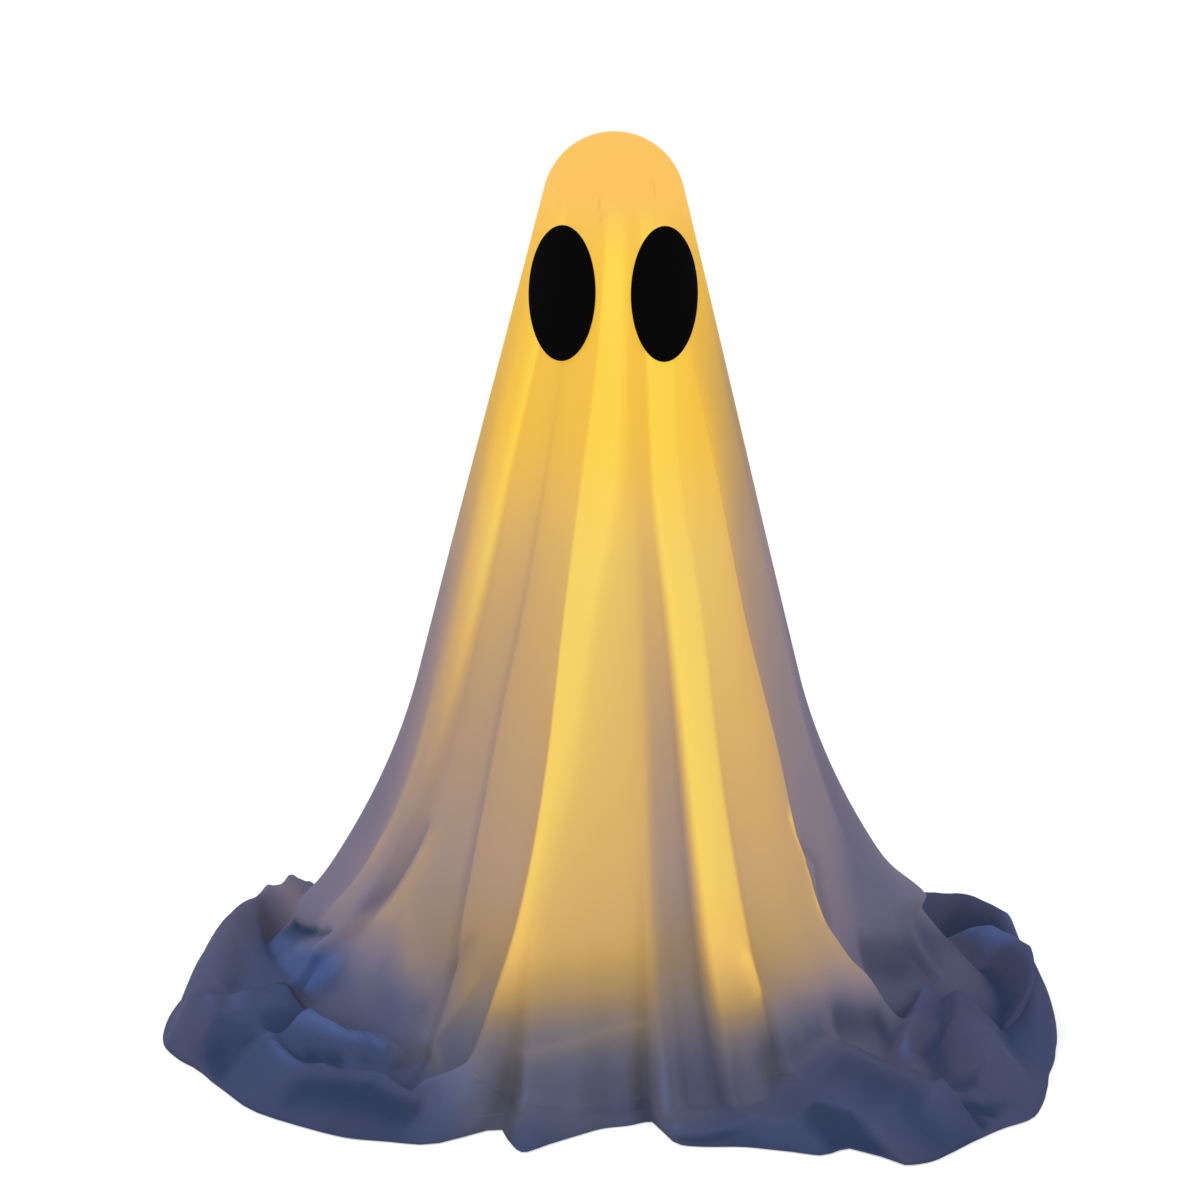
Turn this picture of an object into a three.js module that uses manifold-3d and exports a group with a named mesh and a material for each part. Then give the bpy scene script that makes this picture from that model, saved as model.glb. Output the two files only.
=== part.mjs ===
// A light-up ghost: a translucent white sheet with two felt eyes, draped over a lamp stand.
// The stand is a three-legged folding base, a pole in two sections, a battery box on the pole,
// an LED lamp in a frosted tube and a foam ball that gives the sheet its round head.
// Millimetres, +Z up. The ghost looks along -Y. The origin is on the floor, under the head.
import * as THREE from "three";
import { mergeVertices } from "three/addons/utils/BufferGeometryUtils.js";
import Module from "manifold-3d";

const wasm = await Module();
wasm.setup();

// Driving dimensions of the figure
const figureHeight = 610;
const seatGap = 0.3; // between two pieces that touch
const facetRoom = 0.9; // room that the flat facets of the sheet need over the round ball
const headBallRadius = 45;

// Driving dimensions of the sheet
const sheetWall = 1.2;
const coneSlope = 0.2546; // how far the cloth moves out for each millimetre down
const flareTop = 250; // height where the straight skirt starts to sweep out
const foldDepth = 24; // how far a full fold stands out, near the floor
const smoothHead = 62; // the folds begin this far below the top
const foldGrowth = 1.25;
const lowFolds = 0.4; // the folds keep this share of their depth on the floor
const lowFoldTop = 80; // and all of it from this height up
const skirtShares = [0.95, 0.87, 0.79, 0.61, 0.42, 0.26, 0.14, 0.06];
const hemReach = 300; // the usual distance from the pole to the hem
const rollHeight = 70; // the tallest roll of spare cloth, over the cloth that lies flat
const flatCloth = 9; // how high the cloth stands where it lies flat
const domeAngles = [20, 38, 57];
const floorShares = [0, 0.42, 0.74, 0.93, 1];

// Where the folds stand out, by angle from the front, positive to the ghost's right side as seen
const foldStops = [
  [-90, 0.55],
  [-72, 0.15],
  [-53, 0.95],
  [-46, 0.25],
  [-37, 0.45],
  [-30, 0.12],
  [-24, 0.25],
  [-18, 0.4],
  [-10, 0.85],
  [-1, 0.35],
  [8, 0.1],
  [14, 0.12],
  [21, 1.0],
  [28, 0.9],
  [33, 0.8],
  [44, 0.75],
  [51, 0.12],
  [68, 0.6],
  [80, 0.15],
  [95, 0.45],
  [110, 0.1],
  [126, 0.9],
  [141, 0.15],
  [156, 0.75],
  [170, 0.05],
  [184, 0.85],
  [199, 0.2],
  [213, 0.9],
  [229, 0.1],
  [244, 0.75],
  [257, 0.1],
];
const widestFoldStep = 15.5; // a wider stretch between two stops gets one more row of points

// Share of the way to the hem at which the skirt's slope would meet the floor
const footShares = [
  [-90, 0.92],
  [-78, 0.85],
  [-68, 0.79],
  [-52, 0.73],
  [-34, 0.75],
  [-18, 0.88],
  [9, 0.94],
  [16, 0.84],
  [34, 0.72],
  [56, 0.74],
  [74, 0.82],
  [90, 0.96],
  [102, 0.95],
  [125, 0.78],
  [180, 0.8],
  [225, 0.78],
];

// The hem's outline on the floor, by angle from the front and share of the hem's reach
const hemStops = [
  [-90, 1.01],
  [-81, 1.003],
  [-64, 0.948],
  [-48, 0.967],
  [-35, 0.957],
  [-24, 0.913],
  [-17, 0.765],
  [-10, 0.893],
  [-1, 0.727],
  [8, 0.68],
  [13, 0.853],
  [21, 0.91],
  [28, 0.975],
  [33, 1.113],
  [44, 1.08],
  [54, 1.083],
  [68, 1.027],
  [80, 1.017],
  [95, 1.031],
  [110, 1.093],
  [122, 1.186],
  [130, 1.19],
  [141, 1.107],
  [154, 1.007],
  [182, 0.92],
  [206, 1],
  [228, 1.16],
  [250, 1.058],
];

// Rolls of spare cloth on the floor: the crest's line, from left to right and from back to front,
// in shares of the hem's reach, its height at both ends, and how far it falls away on either side
const rolls = [
  {
    line: [[-0.88, -0.4], [-0.9, -0.2], [-0.87, 0.13], [-0.847, 0.327], [-0.753, 0.447], [-0.64, 0.48]],
    heights: [0.31, 0.94],
    left: 0.1,
    right: 0.113,
  },
  {
    line: [[-0.84, 0.327], [-0.82, 0.173], [-0.74, -0.16], [-0.643, -0.323]],
    heights: [0.69, 0.53],
    left: 0.03,
    right: 0.113,
  },
  {
    line: [[-0.657, -0.347], [-0.573, -0.447], [-0.44, -0.457]],
    heights: [0.49, 0.34],
    left: 0.047,
    right: 0.08,
  },
  {
    line: [[-0.74, -0.36], [-0.653, -0.573], [-0.56, -0.6], [-0.397, -0.687]],
    heights: [0.36, 0.17],
    left: 0.04,
    right: 0.12,
  },
  {
    line: [[-0.397, -0.687], [-0.26, -0.633]],
    heights: [0.17, 0.34],
    left: 0.04,
    right: 0.1,
  },
  {
    line: [[0.423, -0.513], [0.557, -0.663], [0.68, -0.727], [0.74, -0.7]],
    heights: [0.51, 0.36],
    left: 0.033,
    right: 0.12,
  },
  {
    line: [[0.783, -0.167], [0.807, -0.347], [0.853, -0.6]],
    heights: [0.57, 0.23],
    left: 0.08,
    right: 0.047,
  },
  {
    line: [[0.707, -0.22], [0.64, -0.407], [0.627, -0.497]],
    heights: [0.63, 0.29],
    left: 0.04,
    right: 0.047,
  },
  {
    line: [[0.78, 0.24], [0.91, 0.147], [0.947, -0.047], [0.94, -0.2], [0.893, -0.5]],
    heights: [0.74, 0.11],
    left: 0.107,
    right: 0.087,
  },
  {
    line: [[0.653, 0.653], [0.84, 0.66], [0.92, 0.647], [0.993, 0.607], [1.02, 0.533]],
    heights: [0.64, 0.54],
    left: 0.087,
    right: 0.087,
  },
  {
    line: [[-0.533, 0.713], [-0.373, 0.807], [-0.233, 0.82]],
    heights: [0.34, 0.24],
    left: 0.067,
    right: 0.08,
  },
  {
    line: [[-0.753, 0.633], [-0.533, 0.92], [-0.367, 0.88]],
    heights: [0.49, 0.14],
    left: 0.08,
    right: 0.073,
  },
  {
    line: [[0.2, 0.753], [0.347, 0.807], [0.5, 0.74]],
    heights: [0.29, 0.26],
    left: 0.067,
    right: 0.067,
  },
  {
    line: [[-0.147, 0.727], [0, 0.793], [0.113, 0.873]],
    heights: [0.24, 0.14],
    left: 0.053,
    right: 0.067,
  },
  {
    line: [[0.5, 0.873], [0.633, 0.82], [0.687, 0.713]],
    heights: [0.14, 0.43],
    left: 0.073,
    right: 0.08,
  },
];

// Driving dimensions of the felt eyes, as they show from the front
const eyeWidth = 44;
const eyeHeight = 85;
const eyeSpacing = 66.5;
const eyeDrop = 105; // from the top of the head to the middle of the eyes
const feltThickness = 1.5;
const eyeStand = 0.75; // from the sheet's smooth surface to the back of the felt

// Driving dimensions of the pole
const poleRadius = 6;
const poleWall = 1;
const poleInsert = 41.7; // how far the pole goes down into the hub
const lowerPoleLength = 139.6;
const couplerLength = 40;
const couplerWall = 2;

// Driving dimensions of the tripod
const hubBelowPivot = 17;
const hubAbovePivot = 37;
const hubRadius = 13;
const pivotRadius = 22;
const pivotHeight = 140;
const legAngles = [90, 210, 330];
const legSpread = 36; // degrees from upright when open
const legTubeRadius = 4;
const legTubeWall = 0.8;
const knuckleWidth = 8;
const knuckleRadius = 7;
const earThickness = 4;
const pinRadius = 2;
const runningGap = 0.3;
const legSocketRadius = 6;
const footRadius = 7;
const setScrewRadius = 1.8;

// Driving dimensions of the lamp
const lampRadius = 25;
const lampWall = 2;
const lampLength = 107;
const lampNeck = 27; // from the cup's floor down to the neck's end on the pole
const ballStandoff = 17.6; // from the lamp tube's top to the ball's lowest point
const cupWall = 2.2;
const spigotRadius = 8;
const spigotLength = 30;
const boardWidth = 32;
const boardThickness = 1.6;
const boardHeight = 88;
const ledSize = 5;
const ledThickness = 1.4;
const ledRows = 4;

// Driving dimensions of the battery box and what it holds
const cellRadius = 7.2;
const cellLength = 49.2;
const cellNubRadius = 2.7;
const cellNubLength = 1.3;
const cellCount = 3;
const cellPitch = 15;
const boxWall = 2.2;
const boxFloor = 2;
const boxAboveHub = 3;
const clipAboveFoot = 30;
const bracketThickness = 3;
const springHeight = 5;
const springTurns = 3.5;
const springWire = 0.45;
const contactThickness = 0.5;
const contactSize = 9;
const switchBay = 11;
const coverThickness = 1.8;
const lipThickness = 1.6;
const lipWidth = 1.8;
const switchTravel = 4;
const leadRadius = 1.2;

// Sizes that follow from the ones above
const sheetInnerHead = headBallRadius + seatGap + facetRoom;
const sheetHeadRadius = sheetInnerHead + sheetWall;
const ballCentre = figureHeight - sheetHeadRadius;
const coneAngle = Math.atan(coneSlope);
const domeEnd = {
  radius: sheetHeadRadius * Math.cos(coneAngle),
  height: ballCentre + sheetHeadRadius * Math.sin(coneAngle),
};
const foldTop = figureHeight - smoothHead;
const eyeLevel = figureHeight - eyeDrop;
const lampTop = ballCentre - headBallRadius - ballStandoff;
const lampFloor = lampTop - lampLength;
const lampFoot = lampFloor - lampNeck;
const hubTop = pivotHeight + hubAbovePivot;
const hubBottom = pivotHeight - hubBelowPivot;
const poleFoot = hubTop - poleInsert;
const poleJoint = poleFoot + lowerPoleLength + seatGap / 2;
const leadStrapHeight = (poleJoint + couplerLength / 2 + lampFoot) / 2;
const boxFoot = hubTop + boxAboveHub;
const clipHeight = boxFoot + clipAboveFoot;
const degrees = Math.PI / 180;

const material = (color, roughness, metalness = 0, more = {}) =>
  new THREE.MeshStandardMaterial({ color, roughness, metalness, ...more });
const cloth = material(0xe9c27a, 0.9, 0, { emissive: 0xffc248, emissiveIntensity: 0.6 });
const felt = material(0x050505, 0.95);
const foam = material(0xf4f2ec, 0.85);
const whitePlastic = material(0xe9e7e0, 0.5);
const blackPlastic = material(0x1c1c1e, 0.55);
const frosted = material(0xffdf96, 0.35, 0, { emissive: 0xffb83a, emissiveIntensity: 1 });
const aluminium = material(0xb9bcc0, 0.35, 0.9);
const steel = material(0xc7c9cc, 0.3, 1);
const rubber = material(0x202020, 0.85);
const board = material(0xf2f2ea, 0.5);
const ledYellow = material(0xffd76a, 0.3, 0, { emissive: 0xffc84a, emissiveIntensity: 1 });
const cellJacket = material(0x2f5fa8, 0.35);
const leadJacket = material(0xd8d6cf, 0.5);

const ghost = new THREE.Group();

function addPiece(name, shape, finish, parent = ghost) {
  const geometry = shape.isBufferGeometry ? shape : geometryOf(shape);
  geometry.computeVertexNormals();
  const mesh = new THREE.Mesh(geometry, finish);
  mesh.name = name;
  parent.add(mesh);
  return mesh;
}

// A closed three.js geometry as a solid that can be cut and joined
function solid(geometry) {
  const bare = geometry.clone();
  bare.deleteAttribute("normal");
  bare.deleteAttribute("uv");
  const merged = mergeVertices(bare, 1e-4);
  return new wasm.Manifold(
    new wasm.Mesh({
      numProp: 3,
      vertProperties: merged.attributes.position.array,
      triVerts: new Uint32Array(merged.index.array),
    }),
  );
}

function geometryOf(shape) {
  const { vertProperties, triVerts } = shape.getMesh();
  return new THREE.BufferGeometry()
    .setAttribute("position", new THREE.BufferAttribute(vertProperties, 3))
    .setIndex(new THREE.BufferAttribute(triVerts, 1));
}

// A box between two corners
function block([x0, y0, z0], [x1, y1, z1]) {
  const geometry = new THREE.BoxGeometry(x1 - x0, y1 - y0, z1 - z0);
  return geometry.translate((x0 + x1) / 2, (y0 + y1) / 2, (z0 + z1) / 2);
}

// An upright turned piece from [radius, height] points, which close on themselves or on the axis
function turned(profile, segments = 32) {
  const points = profile.map(([radius, height]) => new THREE.Vector2(radius, height));
  return new THREE.LatheGeometry(points, segments).rotateX(Math.PI / 2);
}

function rod(radius, bottom, top, segments = 24) {
  const shape = new THREE.CylinderGeometry(radius, radius, top - bottom, segments);
  return shape.rotateX(Math.PI / 2).translate(0, 0, (bottom + top) / 2);
}

// An upright tube
function sleeve(outer, inner, bottom, top, segments = 32) {
  return turned(
    [
      [inner, bottom],
      [outer, bottom],
      [outer, top],
      [inner, top],
      [inner, bottom],
    ],
    segments,
  );
}

// A number that runs smoothly from one stop to the next round the whole turn
function roundTurn(stops, angle) {
  const first = stops[0][0];
  const turn = first + THREE.MathUtils.euclideanModulo(angle - first, 360);
  const after = stops.findIndex(([stop]) => stop > turn);
  const [nextAngle, next] = after < 0 ? [first + 360, stops[0][1]] : stops[after];
  const [lastAngle, last] = stops[after < 0 ? stops.length - 1 : after - 1];
  const share = (turn - lastAngle) / (nextAngle - lastAngle);
  return THREE.MathUtils.lerp(last, next, THREE.MathUtils.smoothstep(share, 0, 1));
}

// A point at an angle from the front, on the floor plan
function planPoint(angle, radius, height) {
  const turn = angle * degrees;
  return new THREE.Vector3(radius * Math.sin(turn), -radius * Math.cos(turn), height);
}

function foldAmplitude(height) {
  const share = Math.max(foldTop - height, 0) / foldTop;
  const low = THREE.MathUtils.lerp(lowFolds, 1, THREE.MathUtils.smoothstep(height, 0, lowFoldTop));
  return foldDepth * low * share ** foldGrowth;
}

// The outside of the draped sheet between the head and the floor, in the valleys of the folds
function skirtRadius(angle, height) {
  const straight = domeEnd.radius + (domeEnd.height - height) * coneSlope;
  const straightFoot = domeEnd.radius + domeEnd.height * coneSlope;
  const foot = roundTurn(footShares, angle) * hemReach * roundTurn(hemStops, angle);
  const sweep = Math.max(0, 1 - height / flareTop) ** 2;
  const meanFold = 0.5 * foldAmplitude(height);
  return straight + Math.max(foot - straightFoot, -0.1 * straightFoot) * sweep - meanFold;
}

// How high one roll lifts the cloth at a place: all of its height on its crest's line
function rollLift(place, { line, heights, left, right }) {
  const points = line.map(([x, y]) => new THREE.Vector2(x, y));
  const runs = points.slice(1).map((point, index) => point.distanceTo(points[index]));
  const total = runs.reduce((sum, run) => sum + run, 0);
  let nearest = { away: Infinity };
  let before = 0;
  runs.forEach((run, index) => {
    const [start, end] = [points[index], points[index + 1]];
    const way = end.clone().sub(start).divideScalar(run);
    const offset = place.clone().sub(start);
    const along = THREE.MathUtils.clamp(offset.dot(way), 0, run);
    const away = offset.clone().addScaledVector(way, -along).length();
    if (away < nearest.away) {
      nearest = { away, along: (before + along) / total, onLeft: way.cross(offset) > 0 };
    }
    before += run;
  });
  const width = nearest.onLeft ? left : right;
  const ends = Math.sqrt(Math.min(8 * nearest.along * (1 - nearest.along), 1));
  const height = THREE.MathUtils.lerp(...heights, nearest.along) * (0.35 + 0.65 * ends);
  return height * Math.exp(-((nearest.away / width) ** 2));
}

// The height of the cloth that lies on the floor. Rolls that cross share their height
function spareCloth(x, y) {
  const place = new THREE.Vector2(x / hemReach, y / hemReach);
  const lifts = rolls.map((roll) => rollLift(place, roll) ** 3);
  return flatCloth + rollHeight * Math.cbrt(lifts.reduce((sum, lift) => sum + lift, 0));
}

function softMax(first, second) {
  return (first + second + Math.hypot(first - second, flatCloth)) / 2;
}

function skirtPoint(angle, height) {
  const rise = roundTurn(foldStops, angle) * foldAmplitude(height);
  const point = planPoint(angle, skirtRadius(angle, height) + rise, height);
  if (height < flareTop) point.z = softMax(height, spareCloth(point.x, point.y));
  return point;
}

// The cloth outside the skirt. At the hem it turns down to the floor
function floorPoint(angle, share) {
  const hem = hemReach * roundTurn(hemStops, angle);
  const start = skirtRadius(angle, 0) + roundTurn(foldStops, angle) * foldAmplitude(0);
  const point = planPoint(angle, THREE.MathUtils.lerp(start, hem, share), sheetWall);
  const rise = softMax(0, spareCloth(point.x, point.y)) - sheetWall;
  const fromHem = (hem - start) * (1 - share);
  const tall = THREE.MathUtils.smoothstep(rise, 18, 48);
  const round = 1 - Math.min(fromHem / (7 + 0.42 * rise), 1);
  const slope = Math.min(fromHem / 38, 1) ** 0.8;
  point.z += rise * THREE.MathUtils.lerp(slope, Math.sqrt(1 - round ** 2), tall);
  return point;
}

function domePoint(angle, fromTop) {
  const turn = fromTop * degrees;
  const height = ballCentre + sheetHeadRadius * Math.cos(turn);
  return planPoint(angle, sheetHeadRadius * Math.sin(turn), height);
}

// The angles round the sheet where it has points: every fold stop, and one more in wide stretches
function sheetAngles() {
  return foldStops.flatMap(([angle], index) => {
    const next = index + 1 < foldStops.length ? foldStops[index + 1][0] : foldStops[0][0] + 360;
    return next - angle > widestFoldStep ? [angle, (angle + next) / 2] : [angle];
  });
}

// The sheet: an outer and an inner surface, joined round the hem
function makeSheet() {
  const angles = sheetAngles();
  const coneStart = 90 - coneAngle / degrees;
  const rings = [
    ...[...domeAngles, coneStart].map((fromTop) => angles.map((a) => domePoint(a, fromTop))),
    ...skirtShares.map((share) => angles.map((a) => skirtPoint(a, share * domeEnd.height))),
    ...floorShares.map((share) => angles.map((a) => floorPoint(a, share))),
  ];
  const count = angles.length;
  const apex = new THREE.Vector3(0, 0, figureHeight);
  const outside = [apex, ...rings.flat()];
  const at = (ring, column) => 1 + ring * count + ((column + count) % count);
  const faces = [];
  for (let column = 0; column < count; column++) {
    faces.push([0, at(0, column), at(0, column + 1)]);
    for (let ring = 0; ring + 1 < rings.length; ring++) {
      const [a, b] = [at(ring, column), at(ring, column + 1)];
      const [c, d] = [at(ring + 1, column), at(ring + 1, column + 1)];
      faces.push([a, c, d], [a, d, b]);
    }
  }
  const normals = outside.map(() => new THREE.Vector3());
  for (const face of faces) {
    const [a, b, c] = face.map((corner) => outside[corner]);
    const across = b.clone().sub(a).cross(c.clone().sub(a));
    face.forEach((corner) => normals[corner].add(across));
  }
  const inside = outside.map((point, index) => {
    const inner = point.clone().addScaledVector(normals[index].normalize(), -sheetWall);
    inner.z = Math.max(inner.z, 0);
    return inner;
  });
  const innerFrom = outside.length;
  const lastRing = rings.length - 1;
  const shell = [...faces, ...faces.map(([a, b, c]) => [c, b, a].map((i) => i + innerFrom))];
  for (let column = 0; column < count; column++) {
    const [a, b] = [at(lastRing, column), at(lastRing, column + 1)];
    shell.push([a, a + innerFrom, b + innerFrom], [a, b + innerFrom, b]);
  }
  return new THREE.BufferGeometry()
    .setFromPoints([...outside, ...inside])
    .setIndex(shell.flat());
}

// A felt oval that lies on the sheet and shows as an ellipse from the front
function makeEye(side) {
  const columns = 20;
  const rows = [0.5, 0.85, 1];
  const centre = (side * eyeSpacing) / 2;
  const onSheet = (across, up, stand) => {
    const height = eyeLevel + up;
    let angle = 0;
    for (let step = 0; step < 8; step++) {
      const surface = skirtPoint(angle, height);
      const radius = Math.hypot(surface.x, surface.y) + stand;
      angle = Math.asin((centre + across) / radius) / degrees;
    }
    const surface = skirtPoint(angle, height);
    return planPoint(angle, Math.hypot(surface.x, surface.y) + stand, height);
  };
  const layer = (stand) => [
    onSheet(0, 0, stand),
    ...rows.flatMap((share) =>
      Array.from({ length: columns }, (_, column) => {
        const turn = (column / columns) * 2 * Math.PI;
        const across = (share * eyeWidth * Math.cos(turn)) / 2;
        const up = (share * eyeHeight * Math.sin(turn)) / 2;
        return onSheet(across, up, stand);
      }),
    ),
  ];
  const front = layer(eyeStand + feltThickness);
  const back = layer(eyeStand);
  const at = (row, column) => 1 + row * columns + (column % columns);
  const faces = [];
  for (let column = 0; column < columns; column++) {
    faces.push([0, at(0, column), at(0, column + 1)]);
    for (let row = 0; row + 1 < rows.length; row++) {
      const [a, b] = [at(row, column), at(row, column + 1)];
      const [c, d] = [at(row + 1, column), at(row + 1, column + 1)];
      faces.push([a, c, d], [a, d, b]);
    }
  }
  const rim = rows.length - 1;
  const shell = [...faces, ...faces.map(([a, b, c]) => [c, b, a].map((i) => i + front.length))];
  for (let column = 0; column < columns; column++) {
    const [a, b] = [at(rim, column), at(rim, column + 1)];
    shell.push([a, a + front.length, b + front.length], [a, b + front.length, b]);
  }
  return new THREE.BufferGeometry().setFromPoints([...front, ...back]).setIndex(shell.flat());
}

// The foam ball, with a blind hole for the lamp cap's spigot
function makeHeadBall() {
  const holeRadius = spigotRadius + seatGap + 0.2;
  const holeTop = lampTop + spigotLength + 16 - ballCentre;
  const mouth = Math.asin(holeRadius / headBallRadius);
  const arc = new THREE.ArcCurve(0, 0, headBallRadius, mouth - Math.PI / 2, Math.PI / 2);
  const sphere = arc.getPoints(13).map((point) => [point.x, point.y]);
  const profile = [[0, holeTop], [holeRadius, holeTop], ...sphere];
  profile[profile.length - 1] = [0, headBallRadius];
  return turned(profile, 30).translate(0, 0, ballCentre);
}

// The lamp's lower cup: it sits on the pole and carries the frosted tube and the LED board
function makeLampBase() {
  const bore = poleRadius + seatGap;
  const cupInner = lampRadius + seatGap;
  const cupOuter = cupInner + cupWall;
  const neck = bore + 3.7;
  const poleEnd = lampFloor - 9 + seatGap;
  const body = solid(
    turned([
      [0, poleEnd],
      [bore, poleEnd],
      [bore, lampFoot],
      [neck, lampFoot],
      [neck, lampFoot + 9],
      [cupOuter - 3, lampFloor - 7],
      [cupOuter, lampFloor - 3],
      [cupOuter, lampFloor + 11],
      [cupInner, lampFloor + 11],
      [cupInner, lampFloor],
      [0, lampFloor],
    ]),
  );
  const grip = boardThickness / 2 + seatGap;
  const clamp = solid(
    block([-boardWidth / 2 - 2, -grip - 2.4, lampFloor - 1], [boardWidth / 2 + 2, grip + 2.4, lampFloor + 6]),
  );
  const slot = solid(
    block([-boardWidth / 2 - seatGap, -grip, lampFloor], [boardWidth / 2 + seatGap, grip, lampFloor + 7]),
  );
  const leadHole = solid(
    rod(leadRadius + seatGap, lampFoot, lampFloor + 2, 12).translate(0, leadRoute.lampEntry, 0),
  );
  return body.add(clamp).subtract(slot).subtract(leadHole);
}

// The lamp's cap: a skirt over the tube, a ring that cradles the ball and a barbed spigot
function makeLampCap() {
  const skirtInner = lampRadius + seatGap;
  const skirtOuter = skirtInner + cupWall;
  const cradleOuter = 24;
  const cradleInner = 22;
  const drop = Math.sqrt(headBallRadius ** 2 - cradleInner ** 2);
  const cradleTop = ballCentre - drop - seatGap;
  const under = lampTop + seatGap;
  const plateTop = under + 3;
  const barb = spigotRadius + 0.2;
  const tip = plateTop + spigotLength + 10;
  return turned([
    [0, under],
    [skirtInner, under],
    [skirtInner, lampTop - 12],
    [skirtOuter, lampTop - 12],
    [skirtOuter, lampTop + 4],
    [cradleOuter, lampTop + 10],
    [cradleOuter, cradleTop],
    [cradleInner, cradleTop],
    [cradleInner, plateTop],
    [spigotRadius - 1, plateTop],
    [spigotRadius - 1, tip - 26],
    [barb, tip - 26],
    [spigotRadius - 1, tip - 18],
    [barb, tip - 18],
    [spigotRadius - 1, tip - 10],
    [barb, tip - 10],
    [spigotRadius - 2.5, tip],
    [0, tip],
  ]);
}

function makeLed() {
  const chip = solid(block([-ledSize / 2, -ledThickness, -ledSize / 2], [ledSize / 2, 0, ledSize / 2]));
  const lens = rod(ledSize * 0.36, 0, 0.6, 12).rotateX(Math.PI / 2).translate(0, 0.1 - ledThickness, 0);
  return chip.add(solid(lens));
}

function addLamp() {
  addPiece("lamp_base", makeLampBase(), whitePlastic);
  addPiece("lamp_cap", makeLampCap(), whitePlastic);
  const tubeFoot = lampFloor + seatGap;
  addPiece("lamp_tube", sleeve(lampRadius, lampRadius - lampWall, tubeFoot, lampTop, 36), frosted);
  const boardFoot = lampFloor + seatGap;
  const half = [boardWidth / 2, boardThickness / 2];
  addPiece(
    "led_board",
    block([-half[0], -half[1], boardFoot], [half[0], half[1], boardFoot + boardHeight]),
    board,
  );
  const face = boardThickness / 2 + seatGap;
  for (const [side, turn] of [["front", 0], ["rear", Math.PI]]) {
    for (let row = 0; row < ledRows; row++) {
      const led = addPiece(`led_${side}_${row + 1}`, makeLed(), ledYellow);
      led.position.set(0, turn ? face : -face, boardFoot + 18 + row * 19);
      led.rotation.z = turn;
    }
  }
}

// The tripod hub: a barrel that takes the pole, and a pair of ears for each leg
function makeHub() {
  let hub = solid(
    turned([
      [0, hubBottom],
      [hubRadius - 2, hubBottom],
      [hubRadius, hubBottom + 2],
      [hubRadius, hubTop - 8],
      [hubRadius - 2.5, hubTop - 1.5],
      [hubRadius - 4, hubTop],
      [0, hubTop],
    ]),
  );
  const inner = knuckleWidth / 2 + runningGap;
  const earOutline = new THREE.Shape()
    .moveTo(hubRadius - 4, -10)
    .lineTo(pivotRadius, -knuckleRadius)
    .absarc(pivotRadius, 0, knuckleRadius, -Math.PI / 2, Math.PI / 2, false)
    .lineTo(hubRadius - 4, 14);
  const ear = new THREE.ExtrudeGeometry(earOutline, {
    depth: earThickness,
    bevelEnabled: false,
    curveSegments: 6,
  }).rotateX(Math.PI / 2);
  for (const angle of legAngles) {
    for (const side of [inner + earThickness, -inner]) {
      const placed = ear.clone().translate(0, side, pivotHeight).rotateZ(angle * degrees);
      hub = hub.add(solid(placed));
    }
  }
  for (const angle of legAngles) {
    const bore = rod(pinRadius + seatGap, -20, 20, 16)
      .rotateX(Math.PI / 2)
      .translate(pivotRadius, 0, pivotHeight)
      .rotateZ(angle * degrees);
    hub = hub.subtract(solid(bore));
  }
  const socket = rod(poleRadius + seatGap, poleFoot - seatGap, hubTop + 1);
  return hub.subtract(solid(socket)).subtract(solid(setScrewHole()));
}

const setScrewHeight = hubTop - 13;

// The hole for the set screw, from the front of the hub into the pole socket
function setScrewHole() {
  const hole = rod(setScrewRadius + seatGap, 0, hubRadius + 2, 12);
  return hole.rotateX(Math.PI / 2).translate(0, 0, setScrewHeight);
}

function makeSetScrew() {
  const tip = poleRadius + seatGap;
  const screw = solid(rod(setScrewRadius, tip, hubRadius - 1, 12));
  const socket = solid(rod(setScrewRadius * 0.5, hubRadius - 3, hubRadius, 6));
  return geometryOf(screw.subtract(socket)).rotateX(Math.PI / 2).translate(0, 0, setScrewHeight);
}

// The plastic knuckle at the top of a leg, about its pivot, with the leg pointing straight down
function makeKnuckle() {
  const half = knuckleWidth / 2;
  const socketTop = -16;
  const socketEnd = -36;
  const outline = new THREE.Shape()
    .moveTo(-legSocketRadius, socketTop - 2)
    .lineTo(legSocketRadius, socketTop - 2)
    .lineTo(knuckleRadius, 0)
    .absarc(0, 0, knuckleRadius, 0, Math.PI, false)
    .lineTo(-legSocketRadius, socketTop - 2);
  const tongue = new THREE.ExtrudeGeometry(outline, {
    depth: knuckleWidth,
    bevelEnabled: false,
    curveSegments: 10,
  })
    .rotateX(Math.PI / 2)
    .translate(0, half, 0);
  const heelFace = hubRadius + seatGap - pivotRadius;
  const heel = block([heelFace, -half, -1], [0, half, knuckleRadius - 1]).rotateY(legSpread * degrees);
  const socket = rod(legSocketRadius, socketEnd, socketTop + 1, 20);
  const tubeBore = rod(legTubeRadius + seatGap, socketEnd - 1, socketTop - 2, 20);
  const pinBore = rod(pinRadius + seatGap, -20, 20, 16).rotateX(Math.PI / 2);
  return solid(tongue)
    .add(solid(heel))
    .add(solid(socket))
    .subtract(solid(tubeBore))
    .subtract(solid(pinBore));
}

// A riveted pin: a shaft with a low head at each end
function makeLegPin() {
  const shaft = knuckleWidth / 2 + runningGap + earThickness + seatGap;
  const head = pinRadius + 1.4;
  return turned(
    [
      [0, -shaft - 1.4],
      [head - 0.8, -shaft - 1.4],
      [head, -shaft],
      [pinRadius, -shaft],
      [pinRadius, shaft],
      [head, shaft],
      [head - 0.8, shaft + 1.4],
      [0, shaft + 1.4],
    ],
    16,
  ).rotateX(Math.PI / 2);
}

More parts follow.
